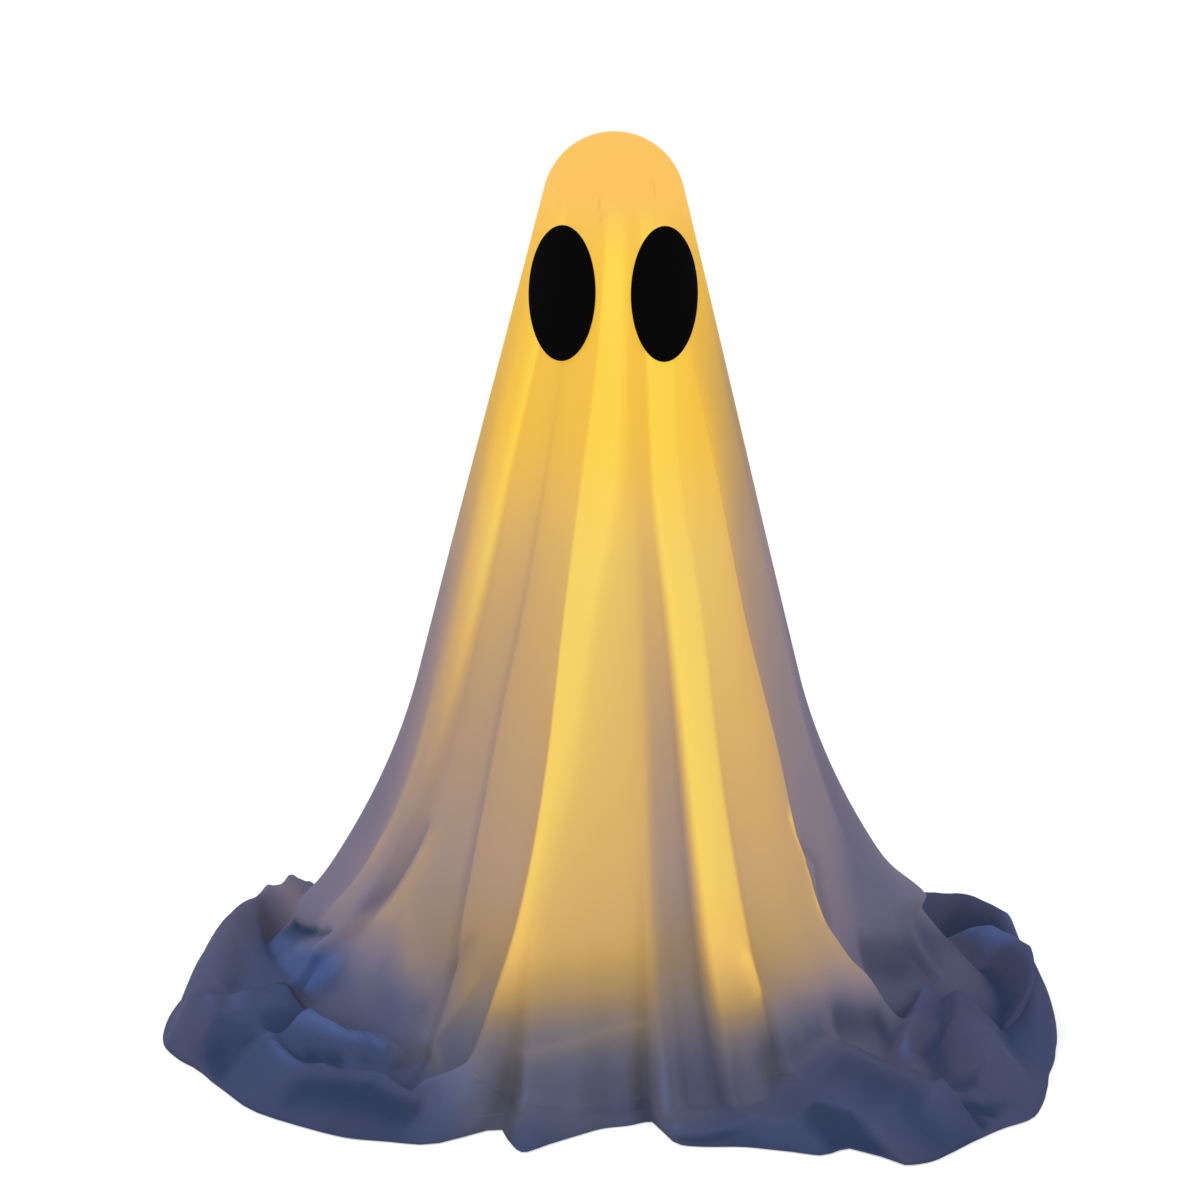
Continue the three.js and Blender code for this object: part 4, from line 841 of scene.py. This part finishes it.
def smooth_curve(stops, values, places):
    """A curve through the stops that never overshoots them."""
    stops, values = np.asarray(stops, float), np.asarray(values, float)
    gaps = np.diff(stops)
    slopes = np.diff(values) / gaps
    same_way = slopes[:-1] * slopes[1:] > 0
    before, after = 2 * gaps[1:] + gaps[:-1], gaps[1:] + 2 * gaps[:-1]
    safe = np.where(same_way, slopes[:-1], 1.0), np.where(same_way, slopes[1:], 1.0)
    inner = np.where(same_way, (before + after) / (before / safe[0] + after / safe[1]), 0.0)
    tangents = np.concatenate(([slopes[0]], inner, [slopes[-1]]))
    index = np.clip(np.searchsorted(stops, places, side="right") - 1, 0, len(gaps) - 1)
    gap = gaps[index]
    share = (places - stops[index]) / gap
    square, cube = share**2, share**3
    return (
        (2 * cube - 3 * square + 1) * values[index]
        + (cube - 2 * square + share) * gap * tangents[index]
        + (3 * square - 2 * cube) * values[index + 1]
        + (cube - square) * gap * tangents[index + 1]
    )


def round_curve(stops, values, places):
    """The same, closed round the whole turn of 360 degrees."""
    stops, values = np.asarray(stops, float), np.asarray(values, float)
    wrapped = np.concatenate((stops[-2:] - 360, stops, stops[:2] + 360))
    looped = np.concatenate((values[-2:], values, values[:2]))
    return smooth_curve(wrapped, looped, places)


def ease(value, low, high):
    """0 up to the first limit, 1 from the second, and a smooth step between them."""
    share = np.clip((value - low) / (high - low), 0, 1)
    return share * share * (3 - 2 * share)


def soft_max(first, second):
    """The larger of two heights, with a rounded inside corner."""
    return (first + second + np.sqrt((first - second) ** 2 + SOFT_CORNER**2)) / 2


def fold_share(x, y, line, left_width, right_width, roundness):
    """How near each place is to a fold's crest, from 1 on it to 0, and how far along it."""
    line = np.asarray(line, float)
    lengths = np.hypot(*np.diff(line, axis=0).T)
    total = lengths.sum()
    nearest = np.full(x.shape, np.inf)
    side = np.zeros(x.shape)
    along = np.zeros(x.shape)
    start = 0.0
    for (x0, y0), (x1, y1), length in zip(line[:-1], line[1:], lengths):
        ux, uy = (x1 - x0) / length, (y1 - y0) / length
        run = np.clip((x - x0) * ux + (y - y0) * uy, 0, length)
        away = np.hypot(x - x0 - run * ux, y - y0 - run * uy)
        turn = ux * (y - y0) - uy * (x - x0)
        closer = away < nearest
        nearest = np.where(closer, away, nearest)
        side = np.where(closer, turn, side)
        along = np.where(closer, (start + run) / total, along)
        start += length
    # the two widths change over within 3 mm of the crest, and the fold fades at its ends
    lean = np.clip(0.5 + side / 6, 0, 1)
    width = right_width + (left_width - right_width) * lean
    ends = np.clip(8 * along * (1 - along), 0, 1) ** 0.5
    return (0.35 + 0.65 * ends) * np.exp(-((nearest / width) ** roundness)), along


def puddle_form(x, y):
    """Height, painted shade and highlights, and light of the spare cloth that lies on the floor."""
    tall = np.zeros(x.shape)
    for line, first, last, left_width, right_width in FLOOR_ROLLS:
        share, along = fold_share(x, y, line, left_width, right_width, 2.0)
        # where two rolls cross they share their height
        tall = (tall**3 + ((first + (last - first) * along) * share) ** 3) ** (1 / 3)
    rise = CLOTH_ON_FLOOR + tall
    painted_shading = np.zeros(x.shape)
    for line, first, last, left_width, right_width, roundness, shading_paint in FLOOR_FOLDS:
        share, along = fold_share(x, y, line, left_width, right_width, roundness)
        rise += (first + (last - first) * along) * share
        painted_shading += shading_paint * share
    light = np.zeros(x.shape)
    for line, width, strength in FLOOR_LIGHTS:
        light += strength * fold_share(x, y, line, width, width, 2.0)[0]
    ripple = np.sin(x / 17 + 1.3 * np.sin(y / 23)) * np.sin(y / 19 + 1.1 * np.sin(x / 29))
    return np.maximum(rise + ripple, 6.4), painted_shading, light


def skirt_marks(columns, height):
    """How far the marks push the skirt out, their painted shade and highlights, and their light."""
    turned = np.mod(columns + 180, 360) - 180
    x, y = turned * SKIRT_MM_PER_DEGREE, np.full(columns.shape, float(height))
    push, painted_shading, light = (np.zeros(columns.shape) for _ in range(3))
    marks = SKIRT_FOLDS if height < MARKS_TOP else ()
    for line, first, last, left_width, right_width, roundness, shading_paint, lamp in marks:
        line = [(angle * SKIRT_MM_PER_DEGREE, level) for angle, level in line]
        share, along = fold_share(x, y, line, left_width, right_width, roundness)
        push += (first + (last - first) * along) * share
        painted_shading += shading_paint * share
        light += lamp * share
    return push, painted_shading, light


def column_plan():
    """Columns of the sheet's net: each lies at a share of the way between two fold stops."""
    middle = LINE_HEIGHTS.index(SPACING_HEIGHT)
    angles = [line[middle] + offset for line, offset in zip(STOP_LINES, STOP_OFFSETS)]
    angles.append(angles[0] + 360)
    index, share = [], []
    for stop, (low, high) in enumerate(zip(angles[:-1], angles[1:])):
        # the columns lie closer together in front and in the narrow folds
        spacing = 0.85 if high < 100 else 2.2
        count = 4 if high - low < 2.2 else max(2, round((high - low) / spacing))
        index += [stop] * count
        share += [step / count for step in range(count)]
    return np.array(index), np.array(share)


def columns_at(height, plan):
    """The fold stops' and the columns' angles from the front at a height."""
    spot = np.array([min(max(height, 0), LINE_HEIGHTS[-1])])
    turns = [smooth_curve(LINE_HEIGHTS, line, spot)[0] for line in STOP_LINES]
    stops = STOP_OFFSETS + np.array(turns)
    closed = np.append(stops, stops[0] + 360)
    index, share = plan
    return stops, closed[index] + share * (closed[index + 1] - closed[index])


def lamp_glow(height, stops, columns):
    """How strongly the lamp shows through the cloth at a height."""
    spot = np.array([min(max(height, 0), GLOW_HEIGHTS[-1])])
    curves = [smooth_curve(GLOW_HEIGHTS, curve, spot)[0] for curve in GLOW_CURVES]
    shares = STOP_LOW_GLOW + (STOP_HIGH_GLOW - STOP_LOW_GLOW) * ease(height, *GLOW_CHANGE)
    return np.interp(round_curve(stops, shares, columns), (0, 1, 2), curves)


def around(stops, columns):
    """The value at each column of a table of angles from the front and values."""
    angles, values = zip(*stops)
    return round_curve(angles, values, angles[0] + np.mod(columns - angles[0], 360))


def gentle_hem(columns):
    """The hem's outline without its flaps, which don't reach up the skirt."""
    nearby = [around(HEM_STOPS, columns + offset) for offset in range(-9, 10, 3)]
    return np.minimum(nearby[3], np.mean(nearby, axis=0))


def cone_radius(height):
    """Distance from the pole to the sheet's straight side."""
    return DOME_RADIUS + (DOME_HEIGHT - height) * CONE_SLOPE


def fold_reach(height, fold_depth):
    """How far a full fold stands out: nothing on the head, and most at the floor."""
    return fold_depth * (max(FOLD_TOP - height, 0) / FOLD_TOP) ** FOLD_GROWTH


def skirt_radius(height, columns, stand, fold_depth):
    """Distance from the pole to the sheet, with its folds and the skirt's flare."""
    reach = fold_reach(height, fold_depth) * (0.4 + 0.6 * ease(height, 0, 80))
    foot = around(FOOT_SHARES, columns) * gentle_hem(columns)
    spread = np.maximum(foot - cone_radius(0), -0.1 * cone_radius(0))
    sweep = max(0, 1 - height / FLARE_TOP) ** 2
    wander = 0.035 * np.sin(np.radians(3 * columns) + height / 60)
    return cone_radius(height) + spread * sweep + (stand - 0.5 + wander) * reach


def pinch_depths(columns, height):
    depths = np.zeros(columns.shape)
    for angle, low, high, depth in PINCHES:
        wide = np.clip(1 - ((columns - angle) / PINCH_HALF_WIDTH) ** 2, 0, 1)
        tall = max(1 - ((2 * height - low - high) / (high - low)) ** 2, 0)
        depths += depth * wide * tall
    return depths


def spots(radius, columns, height):
    """Places at a distance from the pole, an angle from the front and a height."""
    turn = np.radians(columns)
    rise = np.broadcast_to(height, columns.shape)
    return np.stack((radius * np.sin(turn), -radius * np.cos(turn), rise), axis=1)


def head_rows(plan):
    """The net's rows over the ball, each with its places, glow and the pinches' painted shade."""
    for from_top in np.linspace(0, math.pi / 2 - CONE_ANGLE, HEAD_ROWS):
        height = BALL_CENTRE + HEAD_RADIUS * math.cos(from_top)
        stops, columns = columns_at(height, plan)
        pinched = pinch_depths(columns, height)
        row = spots(HEAD_RADIUS * math.sin(from_top) - pinched, columns, height)
        yield row, lamp_glow(height, stops, columns), PINCH_SHADE * pinched


def side_rows(plan, fold_depth):
    """The net's rows from the ball down to the floor."""
    brow = np.arange(DOME_HEIGHT - 5, BODY_TOP + 5, -5.5)
    body = np.linspace(BODY_TOP, SKIRT_TOP, 36)
    skirt = np.linspace(SKIRT_TOP - 3, 0, 46)
    for height in np.concatenate((brow, body, skirt)):
        stops, columns = columns_at(height, plan)
        stand = round_curve(stops, STOP_STANDS, columns)
        pinched = pinch_depths(columns, height)
        push, painted_shading, light = skirt_marks(columns, height)
        radius = skirt_radius(height, columns, stand, fold_depth) - pinched + push
        row = spots(radius, columns, height)
        glow = lamp_glow(height, stops, columns) + light
        painted_shading = painted_shading + PINCH_SHADE * pinched
        if height < SKIRT_TOP:
            # where the spare cloth stands higher than the skirt's row, the row lies on it
            rise, floor_painted_shading, floor_light = puddle_form(row[:, 0], row[:, 1])
            row[:, 2] = soft_max(row[:, 2], rise)
            lies = np.clip((rise - height + 24) / 24, 0, 1)
            aside = np.clip(np.abs(row[:, 0]) / 150 - 0.7, 0, 1)
            # the spare cloth's painted shade and highlights reach the skirt's rows that lie on it
            painted_shading = painted_shading + floor_painted_shading * lies
            glow = glow * (1 - 0.8 * lies * aside) + floor_light * lies
        yield row, glow, painted_shading


def floor_rows(plan, foot_row):
    """The net's rows on the floor, from the skirt's foot out to the hem and under it."""
    stops, columns = columns_at(0, plan)
    foot = np.hypot(foot_row[:, 0], foot_row[:, 1])
    hem = np.maximum(around(HEM_STOPS, columns), foot + 10)
    # in front the cloth gets painted shade, darker towards the hem
    in_front = np.clip(1.6 * np.cos(np.radians(columns)) - 0.3, 0, 1)
    glow = lamp_glow(0, stops, columns)
    for step in np.linspace(0, 1, FLOOR_ROWS)[1:]:
        from_hem = (hem - foot) * (1 - step) ** 1.5
        row = spots(hem - from_hem, columns, 0.0)
        rise, painted_shading, light = puddle_form(row[:, 0], row[:, 1])
        rise = soft_max(0.0, rise)
        # a roll turns down to the floor in a quarter of an oval, and flat cloth in a slope
        edge = 1 - np.clip(from_hem / (7 + 0.42 * rise), 0, 1)
        slope = np.clip(from_hem / 38, 0, 1) ** 0.8
        share = slope + (np.sqrt(1 - edge**2) - slope) * ease(rise, 18, 48)
        row[:, 2] = 1.0 + (rise - 1.0) * share
        glow = glow * (1 - 1 / FLOOR_ROWS) ** 1.6
        painted_shading = painted_shading - 1.1 * step**1.5 * in_front
        yield row, glow + light, painted_shading
    yield spots(hem - 9, columns, 0.8), 0 * columns, painted_shading


def sheet_net(fold_depth):
    """The sheet's net from the head to the hem: places in mm, glow and painted shading."""
    plan = column_plan()
    rows = [*head_rows(plan), *side_rows(plan, fold_depth)]
    rows += floor_rows(plan, rows[-1][0])
    places, glow, painted_shading = (np.array(part) for part in zip(*rows))
    return places, np.clip(glow, 0, 1), painted_shading


def hollow_map(rows):
    """How far each place lies below (0) or above (1) its surroundings, with 0.5 for level."""
    across = np.roll(rows, -1, axis=1) - np.roll(rows, 1, axis=1)
    down = np.gradient(rows, axis=0)
    facing = np.cross(down, across)
    facing /= np.linalg.norm(facing, axis=2, keepdims=True) + 1e-9
    smooth = rows.copy()
    for _ in range(10):
        smooth = (np.roll(smooth, 1, axis=1) + np.roll(smooth, -1, axis=1) + 2 * smooth) / 4
        padded = np.concatenate((smooth[:1], smooth, smooth[-1:]))
        smooth = (padded[:-2] + padded[2:] + 2 * smooth) / 4
    step = ((rows - smooth) * facing).sum(axis=2)
    return np.clip(0.5 + np.where(step < 0, step / DARKEST_HOLLOW, step / PALEST_CREST), 0, 1)


def hollows_and_crests_shading(rows, glow, painted_shading):
    """The mask of painted shade in the hollows and painted highlights on the crests, with the
    folds' painted shading added; crests only where the cloth is unlit.
    """
    hollow = hollow_map(rows)
    # the hem's last rows turn under, which isn't a hollow or a crest
    hollow[-4:] = 0.5
    unlit = np.clip(1.3 - 4 * glow, 0, 1)
    hollow = np.minimum(hollow, 0.5) + np.maximum(hollow - 0.5, 0) * unlit
    return np.clip(hollow + 0.25 * painted_shading * np.clip(1 - glow, 0.15, 1), 0, 1)


def make_sheet(settings):
    rows, glow, painted_shading = sheet_net(settings.fold_depth / MM)
    hollow = hollows_and_crests_shading(rows, glow, painted_shading)
    count, columns = glow.shape
    # the way down the cloth from the top of the head, for the weave
    steps = np.linalg.norm(np.diff(rows, axis=0), axis=2)
    down = np.concatenate((np.zeros((1, columns)), steps.cumsum(axis=0))) * MM
    net = bmesh.new()
    weave = net.loops.layers.uv.new("cloth")
    bmesh.ops.create_grid(net, x_segments=columns, y_segments=count - 1, size=1)
    glow_layer = net.verts.layers.float.new("glow")
    shade_mask_layer = net.verts.layers.float.new("hollow")
    net.verts.index_update()
    cells = [
        (round((1 - vert.co.y) / 2 * (count - 1)), round((vert.co.x + 1) / 2 * columns))
        for vert in net.verts
    ]
    for face in net.faces:
        face.smooth = True
        for loop in face.loops:
            row, column = cells[loop.vert.index]
            loop[weave].uv = (column / columns * CLOTH_ROUND, down[row, column % columns])
    for vert, (row, column) in zip(net.verts, cells):
        column %= columns
        vert.co = rows[row, column] * MM
        vert[glow_layer] = glow[row, column]
        vert[shade_mask_layer] = hollow[row, column]
    bmesh.ops.remove_doubles(net, verts=net.verts, dist=SAME_PLACE)
    front = min(net.faces, key=lambda face: (face.calc_center_median() - CHEST).length)
    if front.normal.y > 0:
        bmesh.ops.reverse_faces(net, faces=net.faces)
    piece = new_piece("draped_sheet_cloth", net, lit_cloth(settings))
    wall = piece.modifiers.new("Cloth thickness", "SOLIDIFY")
    wall.thickness = settings.cloth_thickness
    wall.offset = -1
    return piece


def make_eye(name, side, settings):
    """A felt oval on the sheet, which shows as an ellipse from the front."""
    middle = FIGURE_HEIGHT - EYE_DROP
    half_width = settings.eye_width / MM / 2
    half_height = settings.eye_height / MM / 2
    pad = bmesh.new()
    bmesh.ops.create_uvsphere(pad, u_segments=72, v_segments=28, radius=1)
    for vert in pad.verts:
        across = side * EYE_SPACING / 2 + half_width * vert.co.x
        height = middle + half_height * vert.co.y
        # the ball flattened to felt with a rounded rim, and bent round the sheet
        lift = math.copysign(abs(vert.co.z) ** 0.35, vert.co.z)
        reach = fold_reach(height, settings.fold_depth / MM)
        back = cone_radius(height) + 0.5 * reach + FELT_GAP
        radius = back + FELT_THICKNESS * (0.5 + 0.5 * lift)
        vert.co = Vector((across, -math.sqrt(radius**2 - across**2), height)) * MM
    for face in pad.faces:
        face.smooth = True
    return new_piece(name, pad, felt(settings))


def new_piece(name, net, material):
    """Ends a bmesh in an object that stays at the origin."""
    mesh = bpy.data.meshes.new(name)
    net.to_mesh(mesh)
    net.free()
    mesh.materials.append(material)
    piece = bpy.data.objects.new(name, mesh)
    bpy.context.scene.collection.objects.link(piece)
    return piece


def in_threes(*stems):
    """The names of pieces that the stand has three of."""
    return [f"{stem}_{number}" for stem in stems for number in (1, 2, 3)]


# The stage, in metres: the floor's half side, what the lights point at, where each light is,
# how wide it is and its share of the key light's power, and how the photo was taken
FLOOR_REACH = 6
LIT_POINT = Vector((0, 0, 0.25))
LIGHTS = {
    "key_light": ((-1.5, -1.9, 2.1), 1.6, 1.0),
    "fill_light": ((2.0, -1.6, 1.5), 1.8, 0.45),
}
AIM_ASIDE = -0.007
CAMERA_ROLL = math.radians(0.5)
SENSOR_WIDTH = 36


# Operators


class GHOST_OT_drape_sheet(bpy.types.Operator):
    """Make the draped sheet with its folds and the spare cloth on the floor"""

    bl_idname = "ghost.drape_sheet"
    bl_label = "Drape Sheet"
    bl_options = {"REGISTER", "UNDO"}

    def execute(self, context):
        sheet = make_sheet(context.scene.ghost_cloth)
        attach(sheet, "draped_sheet")
        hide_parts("sheet")
        return {"FINISHED"}


class GHOST_OT_felt_eyes(bpy.types.Operator):
    """Make the two felt eyes"""

    bl_idname = "ghost.felt_eyes"
    bl_label = "Felt Eyes"
    bl_options = {"REGISTER", "UNDO"}

    def execute(self, context):
        for name, side in (("left", -1), ("right", 1)):
            eye = make_eye(f"felt_eye_{name}", side, context.scene.ghost_cloth)
            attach(eye, "draped_sheet")
            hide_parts(f"eye_{name}")
        return {"FINISHED"}


class GHOST_OT_lamp(bpy.types.Operator):
    """Finish the foam ball, the lamp's cups and tube, and the lit board"""

    bl_idname = "ghost.lamp"
    bl_label = "Lamp and Head Ball"
    bl_options = {"REGISTER", "UNDO"}

    def execute(self, context):
        settings = context.scene.ghost_stand
        dress(foam_beads(), "head_ball")
        dress(moulded("lamp_plastic", settings.pale_plastic), "lamp_cap", "lamp_base")
        dress(lit_tube(settings), "lamp_tube")
        dress(circuit_board(), "led_board")
        diodes = [name for name in NODES if name.startswith("led_") and name != "led_board"]
        dress(lit_diode(settings), *diodes)
        return {"FINISHED"}


class GHOST_OT_tripod(bpy.types.Operator):
    """Finish the pole, the hub and the three folding legs"""

    bl_idname = "ghost.tripod"
    bl_label = "Pole and Tripod"
    bl_options = {"REGISTER", "UNDO"}

    def execute(self, context):
        settings = context.scene.ghost_stand
        tube = drawn_metal("pole_tube", settings.metal_colour)
        dress(tube, "lower_pole", "upper_pole", *in_threes("leg_tube"))
        steel = drawn_metal("plated_steel", tint(214, 214, 216), 0.2, (1, 1, 1))
        dress(steel, "pole_set_screw", *in_threes("leg_pin"))
        plastic = moulded("hub_plastic", settings.dark_plastic, 0.5)
        dress(plastic, "tripod_hub", "pole_coupler", *in_threes("leg_knuckle"))
        dress(soft_rubber(), *in_threes("leg_foot"))
        return {"FINISHED"}


class GHOST_OT_battery_box(bpy.types.Operator):
    """Finish the battery box, its cells and contacts, the switch, the clip and the lead"""

    bl_idname = "ghost.battery_box"
    bl_label = "Battery Box"
    bl_options = {"REGISTER", "UNDO"}

    def execute(self, context):
        settings = context.scene.ghost_stand
        dress(moulded("box_plastic", settings.pale_plastic, 0.5), "battery_box", "battery_cover")
        dress(moulded("switch_plastic", settings.pale_plastic, 0.4), "switch_slider")
        clip = moulded("clip_plastic", settings.dark_plastic, 0.5)
        dress(clip, "pole_clip", "lead_strap", "switch_housing")
        dress(cell_sleeve(settings), *in_threes("battery"))
        steel = drawn_metal("contact_steel", tint(216, 214, 208), 0.22, (1, 1, 1))
        contacts = in_threes("contact_spring", "contact_plate")
        dress(steel, "clip_screw_left", "clip_screw_right", *contacts)
        dress(lead_jacket(), "lamp_lead")
        dress(soft_rubber(), "lead_grommet")
        return {"FINISHED"}


class GHOST_OT_stage(bpy.types.Operator):
    """Set the pale floor, the soft lights and the camera"""

    bl_idname = "ghost.stage"
    bl_label = "Stage"
    bl_options = {"REGISTER", "UNDO"}

    def execute(self, context):
        settings = context.scene.ghost_stage
        make_floor()
        set_world(context.scene, settings.room_light)
        for name, (place, width, share) in LIGHTS.items():
            add_light(name, place, width, share * settings.key_power)
        context.scene.camera = add_camera(settings)
        context.scene.view_settings.view_transform = "Standard"
        return {"FINISHED"}


def white_to_the_eye(finish):
    """1 for what the camera, a mirror or clear glass shows, and 0 for the light on the object."""
    rays = finish.node("ShaderNodeLightPath", output="Is Camera Ray")
    others = [Value(finish, rays.socket.node.outputs[name]) for name in
              ("Is Glossy Ray", "Is Transmission Ray")]
    return finish.node(
        "ShaderNodeMath", {"operation": "ADD", "use_clamp": True},
        {0: rays, 1: others[0] + others[1]},
    )


def make_floor():
    net = bmesh.new()
    bmesh.ops.create_grid(net, x_segments=2, y_segments=2, size=FLOOR_REACH)
    pale = new_finish("pale_floor")
    seen = white_to_the_eye(pale)
    material = pale.surface(
        base_color=(0.80, 0.80, 0.80), roughness=0.95, specular_IOR_level=0.0,
        emission_color=pale.blend(seen, (0, 0, 0), (0.56, 0.56, 0.56)), emission_strength=1.0,
    )
    new_piece("floor", net, material)


def set_world(scene, strength):
    scene.world = bpy.data.worlds.new("soft_room")
    room = Finish(scene.world)
    light = room.node("ShaderNodeBackground", {}, {"Color": (1, 1, 1), "Strength": strength})
    white = room.node("ShaderNodeBackground", {}, {"Color": (1, 1, 1), "Strength": 1.0})
    shown = room.node("ShaderNodeMixShader", {}, {0: white_to_the_eye(room), 1: light, 2: white})
    output = room.tree.nodes.new("ShaderNodeOutputWorld")
    room.tree.links.new(shown.socket, output.inputs["Surface"])


def add_light(name, place, width, power):
    data = bpy.data.lights.new(name, "AREA")
    data.shape = "DISK"
    data.size = width
    data.energy = power
    lamp = bpy.data.objects.new(name, data)
    lamp.location = place
    lamp.rotation_euler = (LIT_POINT - Vector(place)).to_track_quat("-Z", "Y").to_euler()
    bpy.context.scene.collection.objects.link(lamp)


def add_camera(settings):
    data = bpy.data.cameras.new("photo_camera")
    data.lens = settings.lens
    data.sensor_width = SENSOR_WIDTH
    camera = bpy.data.objects.new("photo_camera", data)
    lens_at = Vector((0, -settings.camera_distance, settings.camera_height))
    aim_at = Vector((AIM_ASIDE, 0, settings.aim_height))
    turn = (aim_at - lens_at).to_track_quat("-Z", "Y").to_matrix().to_4x4()
    roll = Matrix.Rotation(CAMERA_ROLL, 4, "Z")
    camera.matrix_world = Matrix.Translation(lens_at) @ turn @ roll
    bpy.context.scene.collection.objects.link(camera)
    return camera


# Panel and start


BUILD_STEPS = (
    GHOST_OT_stage,
    GHOST_OT_drape_sheet,
    GHOST_OT_felt_eyes,
    GHOST_OT_lamp,
    GHOST_OT_tripod,
    GHOST_OT_battery_box,
)


class GHOST_PT_builder(bpy.types.Panel):
    """Buttons for each part of the ghost and the sizes and colours that they use"""

    bl_idname = "GHOST_PT_builder"
    bl_label = "Light-Up Ghost"
    bl_space_type = "VIEW_3D"
    bl_region_type = "UI"
    bl_category = "Ghost"

    def draw(self, context):
        for step in BUILD_STEPS:
            self.layout.operator(step.bl_idname)
        for group in ("ghost_cloth", "ghost_stand", "ghost_stage"):
            settings = getattr(context.scene, group)
            box = self.layout.box()
            for name in type(settings).__annotations__:
                box.prop(settings, name)


SETTINGS = {
    "ghost_cloth": GhostClothSettings,
    "ghost_stand": GhostStandSettings,
    "ghost_stage": GhostStageSettings,
}
CLASSES = (*SETTINGS.values(), *BUILD_STEPS, GHOST_PT_builder)


def register():
    for cls in CLASSES:
        bpy.utils.register_class(cls)
    for name, group in SETTINGS.items():
        setattr(bpy.types.Scene, name, bpy.props.PointerProperty(type=group))


def unregister():
    for name in SETTINGS:
        delattr(bpy.types.Scene, name)
    for cls in reversed(CLASSES):
        bpy.utils.unregister_class(cls)


def main():
    register()
    bpy.ops.ghost.stage()
    bpy.ops.ghost.drape_sheet()
    bpy.ops.ghost.felt_eyes()
    bpy.ops.ghost.lamp()
    bpy.ops.ghost.tripod()
    bpy.ops.ghost.battery_box()


if __name__ == "__main__":
    main()
